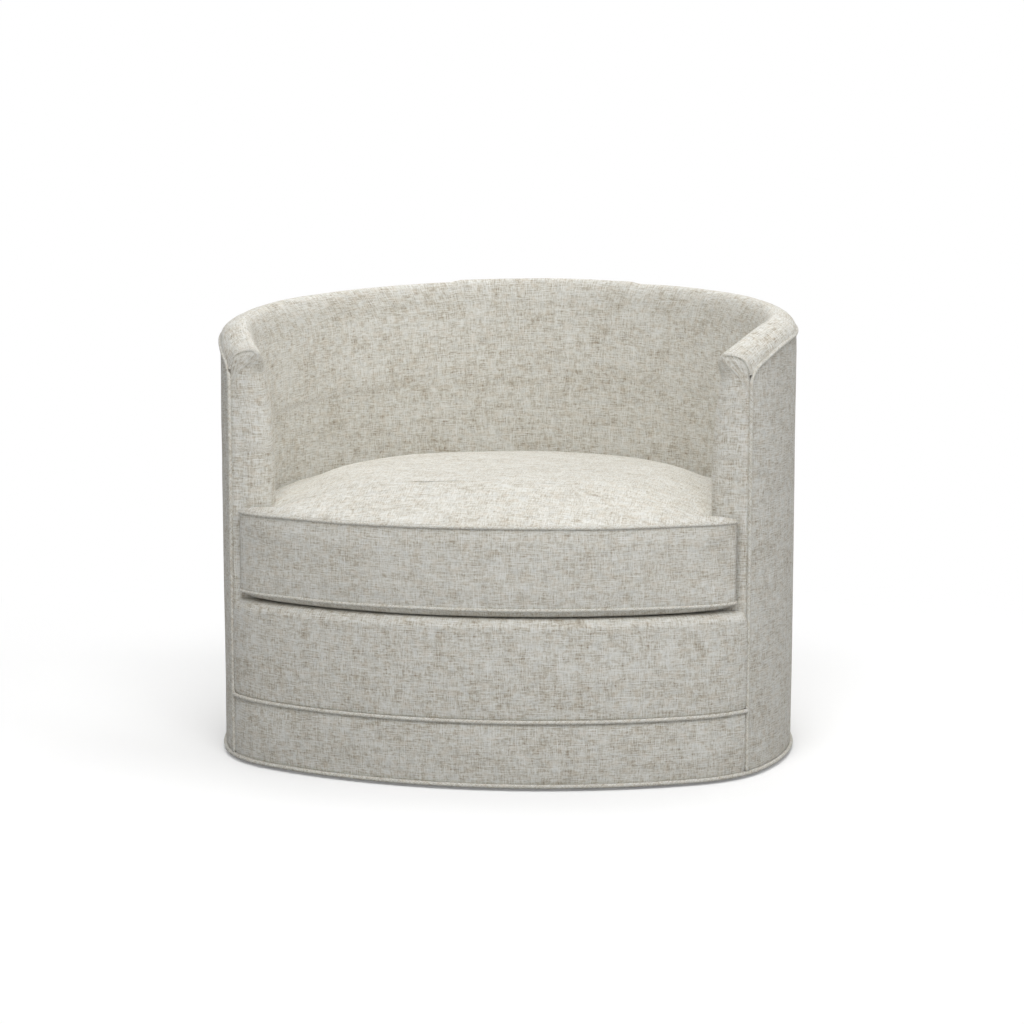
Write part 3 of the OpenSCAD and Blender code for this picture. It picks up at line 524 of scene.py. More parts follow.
def metal(name, colour, dark, metallic, low, high, scale=60.0):
    n = Nodes(name)
    cloud = n.noise(n.place(), scale, 4.0, 0.6)
    fine = n.noise(n.place(), scale * 22, 2.0)
    return n.shader(
        Base_Color=n.mix(n.range(cloud, 0.4, 0.7), colour, dark),
        Metallic=metallic,
        Roughness=n.range(cloud, 0.3, 0.7, low, high),
        Normal=n.bump(fine, 0.00008, 0.5),
    )


def soft(name, light, dark, scale, rough=0.9, depth=0.0006):
    """Foam, felt and other plain soft stuff: clouded colour and an open, bumpy surface."""
    n = Nodes(name)
    cloud = n.noise(n.place(), scale, 5.0, 0.65)
    cells = n.node("ShaderNodeTexVoronoi", {"Vector": n.place(), "Scale": scale * 8})
    return n.shader(
        Base_Color=n.mix(n.range(cloud, 0.35, 0.65), light, dark),
        Roughness=rough,
        Sheen_Weight=0.15,
        Normal=n.bump(cells, depth, 0.6),
    )


def make_materials():
    return {
        "linen_fabric": linen("linen"),
        "cushion_fabric": linen("linen_cushion", contrast=0.9, blotch=0.8),
        "welt_fabric": linen("linen_bias", turn=math.radians(45), contrast=0.8, blotch=0.5),
        "zip_fabric": soft("zip_tape", rgb(0.50, 0.47, 0.41), rgb(0.42, 0.39, 0.34), 700.0, depth=0.0002),
        "felt": soft("felt", rgb(0.20, 0.19, 0.18), rgb(0.11, 0.11, 0.12), 180.0),
        "cambric": soft("cambric", rgb(0.020, 0.020, 0.022), rgb(0.032, 0.032, 0.035), 320.0, depth=0.0002),
        "foam": soft("foam", rgb(0.80, 0.72, 0.50), rgb(0.72, 0.63, 0.41), 120.0),
        "hardwood": wood("hardwood", rgb(0.53, 0.36, 0.20), rgb(0.36, 0.22, 0.11)),
        "plywood": plywood("plywood"),
        "panel_board": soft("panel_board", rgb(0.36, 0.25, 0.15), rgb(0.29, 0.20, 0.12), 60.0, 0.8, 0.0002),
        "black_steel": metal(
            "black_steel", rgb(0.018, 0.018, 0.019), rgb(0.028, 0.028, 0.030), 0.0, 0.38, 0.55
        ),
        "zinc_steel": metal("zinc_steel", rgb(0.60, 0.61, 0.62), rgb(0.48, 0.49, 0.51), 1.0, 0.28, 0.48),
        "nylon": metal("nylon", rgb(0.62, 0.62, 0.58), rgb(0.55, 0.55, 0.51), 0.0, 0.40, 0.52),
    }


# ================================================================ outside of the shell
def outside_cover():
    """The outside fabric, from seam to seam round the back, tucked under its welts, with two seams behind."""
    start = SEAM_DIR + WELT_TUCK / CORNER_R
    back_seams = (BACK_SEAM_DIR, math.pi - BACK_SEAM_DIR)
    direction = lerp(start, math.pi - start, clustered(300, 0.55))
    direction = with_lines(direction, back_seams, BACK_SEAM_REACH, 13)
    v = clustered(90, 0.9)[:, None]
    x, y = rim(direction)
    top = edge_z(y) - turn_drop(y) - WELT_R * WELT_SHARE
    low = BOTTOM_WELT_Z + WELT_R * WELT_SHARE
    z = lerp(low, top, v)
    along = np.abs(rim_length(direction))
    from_edges = np.minimum(z - low, top - z)
    from_seams = np.minimum(np.abs(direction - start), np.abs(direction - math.pi + start)) * CORNER_R
    points = stack(x, y, z)
    wave = COVER_WAVE * (field(points, 0.16, 1) + 0.4 * field(points, 0.05, 2))
    depth = wave * np.clip(from_edges / 0.03, 0, 1) - crease(from_edges) - crease(from_seams) - 0.0002
    for seam in back_seams:
        away = (direction - seam) * SHELL_R
        swell = BACK_SEAM_SWELL * bell(np.abs(away) - 0.006, 0.004)
        depth = depth - BACK_SEAM_DEPTH * bell(away, 0.0016) + swell
    # From one metre inside the rim to the rim is a unit vector outwards
    inner_x, inner_y = rim(direction, 1)
    points = points + stack(x - inner_x, y - inner_y, 0 * z) * depth[..., None]
    uv = stack(along, z, 0 * z)[..., :2]
    return grid_mesh("outside_cover", points, uv)


# ================================================================ inside of the shell, its roll and arm fronts
def roll_profile():
    """Rows of the inside cover's section: inset, height over the edge line, share of the way to the deck."""
    a = np.radians(np.concatenate([[7, 9.5, 12.5], np.linspace(16, 90, 16)]))
    rows = [(ROLL_IN - ROLL_IN * math.cos(q), ROLL_RISE * math.sin(q), 0.0) for q in a]
    inner = ARM_T - ARM_LEAN - ROLL_IN
    fall = ROLL_RISE + ROLL_FOOT
    for q in np.radians(np.linspace(5, 90, 18)):
        rows.append((ROLL_IN + inner * math.sin(q), ROLL_RISE - fall * (1 - math.cos(q)), 0.0))
    for t in np.linspace(0, 1, 18)[1:]:
        s = ARM_T - ARM_LEAN * (1 - t) ** 1.5
        rows.append((s, lerp(-ROLL_FOOT, -LEAN_DEPTH, t), 0.0))
    for t in list(clustered(WALL_ROWS, 0.4)[1:]) + [1.0]:
        rows.append((ARM_T, -LEAN_DEPTH, t))
    return np.array(rows)


def inside_half():
    """Right half of the inside cover: arm front, rounding, and wall round to the middle of the back."""
    rows = roll_profile()
    s, dz, low = (rows[:, i : i + 1] for i in range(3))
    deck = DECK_Z + 0.0006

    def height(y):
        """Height of each row where the section stands at y."""
        z = edge_z(y) + dz - turn_drop(y) * np.clip(1 - s / 0.012, 0, 1) ** 2
        return lerp(z, deck, low)

    # Each row turns round the front of the arm: tight at the cap, and wide and soft below it
    below_crest = np.clip((ROLL_RISE - dz) / ARM_ROUND_FROM, 0, 1) * (s > ROLL_IN)
    ease = below_crest**2 * (3 - 2 * below_crest)
    reach_in = lerp(ARM_CAP_R, ARM_ROUND_IN, ease)
    reach_back = lerp(ARM_CAP_R, ARM_ROUND_BACK, ease)
    start_y = ARM_FACE_Y + reach_back

    def wall(u):
        """Place in plan of each row, at shares of the way round from start_y to the other arm."""
        outer_dir = np.arcsin((start_y - CORNER_Y) / CORNER_R)
        inner_dir = np.arcsin(start_y / INNER_R)
        ox, oy = rim(lerp(outer_dir, math.pi - outer_dir, u))
        angle = lerp(inner_dir, math.pi - inner_dir, u)
        t = s / ARM_T
        r = INNER_R - ARM_SWELL * ease * bell(INNER_R * (angle - inner_dir), 0.06)
        return lerp(ox, r * np.cos(angle), t), lerp(oy, r * np.sin(angle), t)

    # Wall
    u = 0.5 * lerp(np.linspace(0, 1, 130), np.linspace(0, 1, 130) ** 1.6, 0.5)[None, :]
    x, y = wall(u)
    z = height(y)
    notch = np.clip((NOTCH_X + 0.008 - np.abs(x)) / 0.016, 0, 1)
    z = z + NOTCH_RISE * notch**2 * (3 - 2 * notch) * bell(s - ROLL_IN, 0.026) * (y > 0) * (low < 0.001)
    wall_part = stack(x, y, z)
    # Rounding at the front
    x0, _ = wall(np.zeros((1, 1)))
    section = np.concatenate([-s, height(ARM_FACE_Y + 0.03)], 1)
    ahead = np.gradient(section, axis=0)
    ahead[-1] = ahead[-2]
    ahead /= np.linalg.norm(ahead, axis=1, keepdims=True)
    inwards = np.stack([-ahead[:, 1], ahead[:, 0]], 1)
    start = np.stack([x0[:, 0], start_y[:, 0], height(start_y)[:, 0]], 1)
    px, py = wall(np.full((1, 1), 0.002))
    ahead_of_start = start - np.stack([px[:, 0], py[:, 0], height(py)[:, 0]], 1)
    ahead_of_start /= np.linalg.norm(ahead_of_start, axis=1, keepdims=True)
    across = np.stack([inwards[:, 0], 0 * inwards[:, 0], inwards[:, 1] * (1 - low[:, 0])], 1)
    end = start + across * reach_in
    end[:, 1] = ARM_FACE_Y
    bend = [start, start + ahead_of_start * reach_back * 0.75, end - across * reach_in * 0.7, end]
    t = np.linspace(1, 0.05, 18)[None, :, None]
    share = [(1 - t) ** 3, 3 * (1 - t) ** 2 * t, 3 * (1 - t) * t**2, t**3]
    rounding = sum(w * p[:, None, :] for w, p in zip(share, bend))
    rounding[..., 2] = np.maximum(rounding[..., 2], deck)
    # Face of the arm, from the seam to the rounding
    edge = rounding[:, :1]
    n_face = 22
    f = clustered(n_face, 0.8)[None, :-1]
    seam_top = float(edge_z(SEAM_Y)) - WELT_TURN_R + 0.002
    knee = seam_top - 0.012
    run = run_along(edge[:, 0])
    past = np.argmax((edge[:, 0, 2] < knee) & (rows[:, 0] > ROLL_IN))
    share = np.clip(run / run[past], 0, 1)[:, None]
    seam_z = np.where(share < 1, lerp(seam_top, knee, share), edge[..., 2])
    seam_x = SEAM_X - WELT_R - 0.0004
    fx = lerp(seam_x, edge[..., 0], f)
    fz = lerp(seam_z, edge[..., 2], f)
    face_points = np.stack([fx, fz], -1)
    from_seam = np.maximum(seam_x - fx, 0)
    from_edge = line_distance(face_points, edge[:, 0][:, [0, 2]])
    rise = np.clip(from_edge / ARM_DOME_REACH, 0, 1)
    dome = ARM_DOME * (1 - np.exp(-from_seam / 0.009)) * rise**2 * (3 - 2 * rise)
    fy = ARM_FACE_Y - dome + crease(from_seam) * 0.9
    face = stack(fx, fy, fz)
    grid = np.concatenate([face, rounding, wall_part], 1)
    grid[-1, :, 2] = deck - BELOW_DECK
    seam_column = n_face - 1
    cap_seam = 1 - np.clip(below_crest[:, 0] / 0.5, 0, 1)
    return grid, seam_column, cap_seam, rows


def inside_cover():
    half, seam_column, cap_seam, rows = inside_half()
    mirrored = half[:, ::-1] * np.array([-1.0, 1.0, 1.0])
    points = np.concatenate([half, mirrored[:, 1:]], 1)
    cols = points.shape[1]
    normal = -grid_normals(points)
    # Seam over the cap of each arm
    depth = np.zeros(points.shape[:2])
    gaps = np.linalg.norm(np.diff(points, axis=1), axis=2)
    along = np.concatenate([np.zeros((len(rows), 1)), np.cumsum(gaps, 1)], 1)
    for column in (seam_column, cols - 1 - seam_column):
        away = along - along[:, column : column + 1]
        depth -= CAP_SEAM_DEPTH * bell(away, CAP_SEAM_REACH) * cap_seam[:, None]
    # Gentle unevenness of the padding, calm where the cover is sewn
    calm = np.clip(np.arange(len(rows)) / 12, 0, 1)[:, None]
    wave = COVER_WAVE * (field(points, 0.13, 4) + 0.28 * field(points, 0.045, 5))
    depth += wave * calm
    pucker = field(points * np.array([1, 1, 0.25]), 0.012, 6)
    depth += 0.00035 * pucker * bell(rows[:, 0:1] - 0.008, 0.010) * (rows[:, 2:3] < 0.001)
    depth[0] -= 0.0008
    points = points + normal * depth[..., None]
    # The weave runs level on the wall and the arm fronts, and follows the roll over the top
    middle = cols // 2
    u = along - along[:, middle : middle + 1]
    wall_row = len(rows) - WALL_ROWS - 1
    down = run_along(points[:, middle])
    below = points[..., 2] - points[wall_row, middle, 2]
    on_wall = np.arange(len(rows))[:, None] >= wall_row
    uv = stack(u[wall_row], np.where(on_wall, below - down[wall_row], -down[:, None]), 0)[..., :2]
    return grid_mesh("inside_cover", points[:, ::-1], uv[:, ::-1])


# ================================================================ front of the seat rail and base band
def front_directions(n):
    tuck = WELT_TUCK / CORNER_R
    return lerp(-math.pi - SEAM_DIR + tuck, SEAM_DIR - tuck, clustered(n, 0.5))


def front_run(direction):
    """Distance along the front, from its middle, positive to the right."""
    d, side = folded(direction)
    front = FRONT_R * (np.minimum(d, FRONT_DIR) + math.pi / 2)
    return side * (front + CORNER_R * np.maximum(d - FRONT_DIR, 0))


def rail_cover():
    """The fabric over the seat rail: up from the mid welt, over the rounded edge, back under the cushion."""
    direction = front_directions(170)
    low = MID_WELT_Z + WELT_R * WELT_SHARE
    top = DECK_Z - RAIL_EDGE_R
    up = clustered(44, 0.8)
    rows = [(0.0, lerp(low, top, t)) for t in up]
    for a in np.radians(np.linspace(9, 90, 10)):
        rows.append((RAIL_EDGE_R * (1 - math.cos(a)), top + RAIL_EDGE_R * math.sin(a)))
    for t in np.linspace(0, 1, 9)[1:]:
        rows.append((lerp(RAIL_EDGE_R, RAIL_BACK, t), DECK_Z))
    rows = np.array(rows)
    inset, z = rows[:, :1], rows[:, 1:]
    span = np.clip((z - low) / (DECK_Z - low), 0, 1)
    puff = RAIL_PUFF * np.sin(math.pi * span) ** 0.7 * (inset < 0.001)
    from_ends = np.minimum(direction - direction[0], direction[-1] - direction) * CORNER_R
    tuck = crease(z - low) * (inset < 0.001) + crease(from_ends)
    sample = stack(*rim(direction, inset), z)
    wave = COVER_WAVE * (field(sample, 0.12, 8) + 0.5 * field(sample, 0.04, 9))
    wave = wave * np.clip((z - low) / 0.02, 0, 1) * (inset < 0.02)
    x, y = rim(direction, inset - puff - wave + tuck)
    y = np.minimum(y, ARM_FACE_Y - 0.0006)
    uv = stack(front_run(direction), run_along(rows)[:, None], 0)[..., :2]
    return grid_mesh("rail_cover", stack(x, y, z), uv)


def base_band():
    direction = front_directions(170)
    low = BOTTOM_WELT_Z + WELT_R * WELT_SHARE
    high = MID_WELT_Z - WELT_R * WELT_SHARE
    z = lerp(low, high, clustered(30, 0.85))[:, None]
    from_edges = np.minimum(z - low, high - z)
    from_ends = np.minimum(direction - direction[0], direction[-1] - direction) * CORNER_R
    sample = stack(*rim(direction), z)
    wave = COVER_WAVE * 0.9 * (field(sample, 0.11, 11) + 0.5 * field(sample, 0.035, 12))
    wave = wave * np.clip(from_edges / 0.02, 0, 1)
    puff = BAND_PUFF * np.sin(math.pi * (z - low) / (high - low))
    x, y = rim(direction, crease(from_edges) + crease(from_ends) - wave - puff)
    uv = stack(front_run(direction) + 0.37, z + 0.81, 0)[..., :2]
    return grid_mesh("base_band", stack(x, y, z), uv)


# ================================================================ welts
def cord(name, path, outward, radius, closed=False, sides=12, seed=1):
    """A fabric-covered cord: an uneven tube along a path whose points each have an outward direction."""
    path, outward = np.asarray(path, float), np.asarray(outward, float)
    if closed:
        ahead = np.roll(path, -1, 0) - np.roll(path, 1, 0)
    else:
        ahead = np.gradient(path, axis=0)
    ahead /= np.linalg.norm(ahead, axis=1, keepdims=True)
    side = np.cross(ahead, outward)
    side /= np.linalg.norm(side, axis=1, keepdims=True)
    out = np.cross(side, ahead)
    a = np.linspace(0, 2 * math.pi, sides, endpoint=False)
    r = radius * (1 + 0.035 * field(path, 0.010, seed) + 0.03 * field(path, 0.045, seed + 1))
    ring = np.cos(a)[:, None, None] * out[None] + np.sin(a)[:, None, None] * side[None]
    points = path[None] + ring * r[None, :, None]
    run = run_along(np.concatenate([path, path[:1]]))
    points = points.transpose(1, 0, 2)
    if closed:
        points = np.concatenate([points, points[:1]])
    else:
        run = run[: len(path)]
    uv = stack(run[:, None], np.linspace(0, 2 * math.pi * radius, sides + 1)[None, :], 0)[..., :2]
    obj = grid_mesh(name, points, uv, wrap=True, caps=not closed)
    if closed:
        weld(obj)
    return obj


def weld(obj, distance=1e-6):
    """Joins points that lie on each other."""
    bm = bmesh.new()
    bm.from_mesh(obj.data)
    bmesh.ops.remove_doubles(bm, verts=bm.verts, dist=distance)
    bm.to_mesh(obj.data)
    bm.free()


def edge_path():
    """Up the right front seam, round the top edge, and down the left one."""
    out = np.array([math.cos(SEAM_DIR), math.sin(SEAM_DIR)])
    foot = BOTTOM_WELT_Z + WELT_R
    turn_z = float(edge_z(SEAM_Y)) - WELT_TURN_R
    cx, cy = (float(v) for v in rim(SEAM_DIR, WELT_SINK))
    up = [((cx, cy, z), (out[0], out[1], 0)) for z in np.linspace(foot, turn_z - 0.003, 130)]
    for a in np.radians(np.linspace(0, 84, 12)):
        y = SEAM_Y + WELT_TURN_R * (1 - math.cos(a))
        d = math.asin((y - CORNER_Y) / CORNER_R)
        x, rim_y = (float(v) for v in rim(d, WELT_SINK))
        z = float(edge_z(y)) - WELT_TURN_R * (1 - math.sin(a))
        up.append(((x, rim_y, z), (math.cos(d), math.sin(d), 0)))
    first = math.asin((SEAM_Y + WELT_TURN_R + 0.002 - CORNER_Y) / CORNER_R)
    for d in np.linspace(first, math.pi / 2, 230):
        x, y = (float(v) for v in rim(d, WELT_SINK))
        up.append(((x, y, float(edge_z(y))), (math.cos(d), math.sin(d), 0)))
    points = np.array([p for p, _ in up])
    outs = np.array([o for _, o in up])
    flip = np.array([-1.0, 1.0, 1.0])
    return np.concatenate([points, points[-2::-1] * flip]), np.concatenate([outs, outs[-2::-1] * flip])


def level_path(directions, z):
    """A welt's middle line round the plan at one height."""
    d, side = folded(directions)
    return stack(*rim(directions, -WELT_SINK), z), stack(np.cos(d) * side, np.sin(d), 0.0)


def welts():
    edge = cord("edge_welt", *edge_path(), EDGE_WELT_R, seed=21)
    mid = cord("mid_welt", *level_path(front_directions(240), MID_WELT_Z), MID_WELT_R, seed=23)
    all_round = np.linspace(-math.pi / 2, 1.5 * math.pi, 720, endpoint=False)
    bottom = cord("bottom_welt", *level_path(all_round, BOTTOM_WELT_Z), EDGE_WELT_R, closed=True, seed=25)
    return edge, mid, bottom


# ================================================================ cushion
def tee(inset, front_n=60, ear_n=9, back_n=80):
    """Closed plan of the cushion, counter-clockwise from the middle of the front."""
    ty = EAR_BACK_Y - inset - EAR_TILT - EAR_TIP_R
    tx = CORNER_X + math.sqrt((CORNER_R - CUSHION_GAP - inset - EAR_TIP_R) ** 2 - (ty - CORNER_Y) ** 2)
    tip_dir = math.atan2(ty - CORNER_Y, tx - CORNER_X)
    back_y = EAR_BACK_Y - inset
    r = INNER_R - CUSHION_GAP - inset
    notch = math.asin(back_y / r)
    front = np.stack(rim(lerp(-math.pi / 2, tip_dir, np.linspace(0, 1, front_n)), CUSHION_GAP + inset), -1)
    a = np.linspace(tip_dir, math.pi / 2, ear_n)[1:]
    tip = np.stack([tx + EAR_TIP_R * np.cos(a), ty + EAR_TIP_R * np.sin(a)], -1)
    corner = r * np.array([math.cos(notch), math.sin(notch)])
    run = lerp(tip[-1], corner, np.linspace(0, 1, 14)[1:, None])
    arc = lerp(notch, math.pi / 2, np.linspace(0, 1, back_n))[1:]
    back = r * np.stack([np.cos(arc), np.sin(arc)], -1)
    half = np.concatenate([front, tip, run, back])
    return soften(np.concatenate([half, half[-2:0:-1] * np.array([-1.0, 1.0])]), 3)


def soften(ring, times):
    """Rounds the corners of a closed plan a little."""
    for _ in range(times):
        ring = 0.5 * ring + 0.25 * (np.roll(ring, 1, 0) + np.roll(ring, -1, 0))
    return ring


def even(ring, n):
    """The closed ring with n evenly spaced points."""
    closed = np.concatenate([ring, ring[:1]])
    run = run_along(closed)
    t = np.linspace(0, run[-1], n, endpoint=False)
    return np.stack([np.interp(t, run, closed[:, i]) for i in (0, 1)], -1)


def crown(xy):
    """Height of the crown over the top welt at places in plan, without ridges between the edges."""
    ring = even(tee(0.0), 1500)
    step = np.linalg.norm(ring[1] - ring[0])
    pull = np.zeros(len(xy))
    for start in range(0, len(xy), 4000):
        gap = xy[start : start + 4000, None] - ring[None]
        pull[start : start + 4000] = (((gap**2).sum(-1) + 1e-8) ** -1.5).sum(1) * step
    depth = np.sqrt(2 / pull)
    at_edge = 1 / (1 + math.exp(FLANK_AT / FLANK_REACH))
    flank = 1 / (1 + np.exp((FLANK_AT - depth) / FLANK_REACH)) - at_edge
    return CROWN_FULL * (1 - np.exp(-((depth / CROWN_REACH) ** CROWN_POWER))) + FLANK_RISE * flank


def cushion_rings(edge_inset):
    """Rings of the cushion's closed form from the middle of its top to the middle of its underside."""
    edge = even(tee(edge_inset), CUSHION_POINTS)
    sink = CUSHION_BOTTOM_Z - DECK_Z - 0.0004
    rings = []
    for share in np.concatenate([[0.02], np.linspace(0.08, 0.9, 20), [0.93, 0.955, 0.975, 0.99, 1.0]]):
        q = lerp(CUSHION_FOCUS, edge, share)
        rings.append(stack(q[:, 0], q[:, 1], CUSHION_TOP_Z + crown(q)))
    by_tips = np.clip((np.abs(edge[:, :1]) - 0.325) / 0.03, 0, 1)
    for t in np.linspace(0, 1, 17)[1:-1]:
        q = even(tee(edge_inset + BOXING_PULL * math.sin(math.pi * t)), CUSHION_POINTS)
        q = lerp(q, edge, by_tips**2 * (3 - 2 * by_tips))
        rings.append(stack(q[:, 0], q[:, 1], lerp(CUSHION_TOP_Z, CUSHION_BOTTOM_Z, t)))
    for share in [1.0, 0.988, 0.972, 0.955, 0.93, 0.9, 0.8, 0.6, 0.3, 0.02]:
        q = lerp(CUSHION_FOCUS, edge, share)
        rings.append(stack(q[:, 0], q[:, 1], CUSHION_BOTTOM_Z - sink * (1 - share**22)))
    return np.array(rings)


def weave_on_cushion(mesh):
    """Texture places for a cushion of any mesh: level over the top, and along the boxing round the side."""
    layer = mesh.uv_layers.new(name="weave")
    ring = even(tee(0.0), 900)
    run = run_along(np.concatenate([ring, ring[:1]]))[:-1]
    co = vertices(mesh)
    nearest = np.zeros(len(co))
    for start in range(0, len(co), 4000):
        part = co[start : start + 4000, None, :2] - ring[None]
        nearest[start : start + 4000] = run[np.argmin((part**2).sum(-1), 1)]
    total = float(run[-1])
    uv = np.zeros((len(mesh.loops), 2))
    for poly in mesh.polygons:
        between_welts = CUSHION_BOTTOM_Z - 0.004 < poly.center.z < CUSHION_TOP_Z + 0.004
        side = abs(poly.normal.z) < 0.55 and between_welts
        first = nearest[mesh.loops[poly.loop_start].vertex_index]
        for k in range(poly.loop_start, poly.loop_start + poly.loop_total):
            i = mesh.loops[k].vertex_index
            if side:
                at = nearest[i]
                if abs(at - first) > total / 2:
                    at += total if at < first else -total
                uv[k] = (at, co[i, 2] + 1.37)
            else:
                uv[k] = (co[i, 0] + 2.3, co[i, 1])
    layer.data.foreach_set("uv", uv.astype(np.float32).ravel())


def edge_distance(co):
    """Distance of each point from the nearer cushion welt line."""
    ring = even(tee(0.0), 700)
    plan = np.zeros(len(co))
    for start in range(0, len(co), 4000):
        part = co[start : start + 4000, None, :2] - ring[None]
        plan[start : start + 4000] = np.sqrt((part**2).sum(-1).min(1))
    level = np.minimum(np.abs(co[:, 2] - CUSHION_TOP_Z), np.abs(co[:, 2] - CUSHION_BOTTOM_Z))
    return np.hypot(plan, level)


def inflate(obj):
    """Blows up an even copy of the cushion as cloth, held at its welts and underneath: places and moves."""
    even_copy = bpy.data.objects.new("cushion_cloth", obj.data.copy())
    bpy.context.scene.collection.objects.link(even_copy)
    bpy.context.view_layer.objects.active = even_copy
    remesh = even_copy.modifiers.new("even", "REMESH")
    remesh.mode = "VOXEL"
    remesh.voxel_size = SIM_VOXEL
    bpy.ops.object.modifier_apply(modifier=remesh.name)
    rest = vertices(even_copy.data)
    held = even_copy.vertex_groups.new(name="held")
    away = edge_distance(rest)
    under = rest[:, 2] < DECK_Z + 0.004
    still = (away < HELD_AT_WELTS) | under | (np.abs(rest[:, 0]) > HELD_BEYOND_X)
    held.add([int(i) for i in np.nonzero(still)[0]], 1.0, "REPLACE")
    cloth = even_copy.modifiers.new("cloth", "CLOTH")
    settings = cloth.settings
    settings.vertex_group_mass = "held"
    settings.quality = 4
    settings.mass = 0.25
    settings.tension_stiffness = 22
    settings.compression_stiffness = 12
    settings.shear_stiffness = 6
    settings.bending_stiffness = 0.9
    settings.use_pressure = True
    settings.uniform_pressure_force = 4.0
    settings.shrink_min = -0.012
    settings.effector_weights.gravity = 0.0
    cloth.collision_settings.use_collision = False
    cloth.point_cache.frame_start, cloth.point_cache.frame_end = 1, SIM_FRAMES
    for step in range(1, SIM_FRAMES + 1):
        bpy.context.scene.frame_set(step)
    blown = even_copy.evaluated_get(bpy.context.evaluated_depsgraph_get())
    shift = vertices(blown.data) - rest
    bpy.context.scene.frame_set(1)
    bpy.data.objects.remove(even_copy)
    length = np.linalg.norm(shift, axis=1, keepdims=True)
    return rest, shift * np.tanh(length / SIM_CAP) * SIM_CAP / np.maximum(length, 1e-9)


def carried(points, places, moves):
    """Moves of the nearest places, blended, for each point."""
    tree = KDTree(len(places))
    for i, place in enumerate(places):
        tree.insert(place, i)
    tree.balance()
    total = np.zeros_like(points)
    for i, point in enumerate(points):
        found = tree.find_n(point, 8)
        share = np.array([1 / (f[2] ** 2 + 1e-6) for f in found])
        total[i] = (moves[[f[1] for f in found]] * share[:, None]).sum(0) / share.sum()
    return total


def cushion_cover():
    rings = cushion_rings(CUSHION_EDGE_INSET)
    uv = np.zeros(rings.shape[:1] + (rings.shape[1] + 1, 2))
    obj = grid_mesh("cushion_cover", rings, uv, wrap=True, caps=True)
    mesh = obj.data
    mesh.uv_layers.remove(mesh.uv_layers[0])
    co = vertices(mesh)
    tall = co[:, 2].max()
    co = co + carried(co, *inflate(obj))
    # The filling settles to its height, and the cover stays sewn along its welts
    over = co[:, 2] > CUSHION_TOP_Z
    rise, blown_rise = tall - CUSHION_TOP_Z, co[:, 2].max() - CUSHION_TOP_Z
    co[over, 2] = CUSHION_TOP_Z + (co[over, 2] - CUSHION_TOP_Z) * rise / blown_rise
    mesh.vertices.foreach_set("co", co.ravel())
    mesh.update()
    normals = np.array([v.normal for v in mesh.vertices])
    away = edge_distance(co)
    under = co[:, 2] < DECK_Z + 0.003
    pulled = bell(away, 0.030) * np.clip(away / 0.004, 0, 1)
    pucker = field(co * np.array([1, 1, 0.3]), 0.016, 31) * pulled * 0.0006
    wave = (0.0011 * field(co, 0.10, 33) + 0.0004 * field(co, 0.04, 34)) * np.clip(away / 0.03, 0, 1)
    amount = np.where(under, 0, pucker + wave - 0.0009 * np.exp(-away / 0.003))
    co = co + normals * amount[:, None]
    co[:, 2] = np.maximum(co[:, 2], DECK_Z + 0.0003)
    mesh.vertices.foreach_set("co", co.ravel())
    mesh.update()
    weave_on_cushion(mesh)
    return obj


def cushion_welts():
    made = []
    places = (("cushion_top_welt", CUSHION_TOP_Z, 41), ("cushion_bottom_welt", CUSHION_BOTTOM_Z, 43))
    for name, z, seed in places:
        ring = even(tee(CUSHION_EDGE_INSET), WELT_POINTS)
        ahead = np.roll(ring, -1, 0) - np.roll(ring, 1, 0)
        out = stack(ahead[:, 1], -ahead[:, 0], 0.0)
        path = stack(ring[:, 0], ring[:, 1], z)
        path[:, 2] += 0.0006 * field(path, 0.09, seed)
        made.append(cord(name, path, out, CUSHION_WELT_R, closed=True, seed=seed))
    return made


# ================================================================ deck
def deck_cover():
    """The plain fabric under the cushion, drawn down a little between its springs."""
    u, v = np.meshgrid(np.linspace(-1, 1, 90), np.linspace(0, 1, 70))
    y = lerp(DECK_FRONT_Y, INNER_R - 0.004, v)
    half = np.sqrt(np.maximum(INNER_R**2 - y**2, 0))
    x = u * (half - 0.001)
    sag = DECK_SAG * (1 + np.cos(x * 2 * math.pi / SPRING_PITCH))
    z = DECK_Z - 0.0004 - sag * np.clip(v * 6, 0, 1) * 0.8
    uv = stack(x, y, 0)[..., :2]
    return grid_mesh("deck_cover", stack(x, y, z), uv)


# ================================================================ zip
# Section of the zip: share of its width from its middle, and height over the boxing
ZIP_HALF_SECTION = [(0.05, 0.0022), (0.09, 0.0014), (0.12, 0.0008), (0.47, 0.0007), (0.5, 0.0)]
ZIP_SECTION = [(-s, h) for s, h in ZIP_HALF_SECTION[::-1]] + [(0, 0.0024)] + ZIP_HALF_SECTION
TOOTH_PITCH = 0.0022
TOOTH_DEPTH = 0.00035
ZIP_POINTS = 260


def zip_tape():
    """The zip behind the cushion: two woven tapes with the coil's teeth standing between them."""
    low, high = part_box("zip_tape")
    r = high.y - 0.0026
    half = math.asin(min(1.0, high.x / high.y))
    angle = np.linspace(math.pi / 2 - half, math.pi / 2 + half, ZIP_POINTS)
    t = np.array(ZIP_SECTION)
    tooth = TOOTH_DEPTH * np.sign(np.sin(angle * r * 2 * math.pi / TOOTH_PITCH))
    rad = r + t[:, 1:] + tooth * (np.abs(t[:, :1]) < 0.06)
    z = ZIP_Z + t[:, :1] * (high.z - low.z)
    points = stack(rad * np.cos(angle), rad * np.sin(angle), z)
    uv = stack(angle * r, z, 0)[..., :2]
    return grid_mesh("zip_tape", points[:, ::-1], uv[:, ::-1])


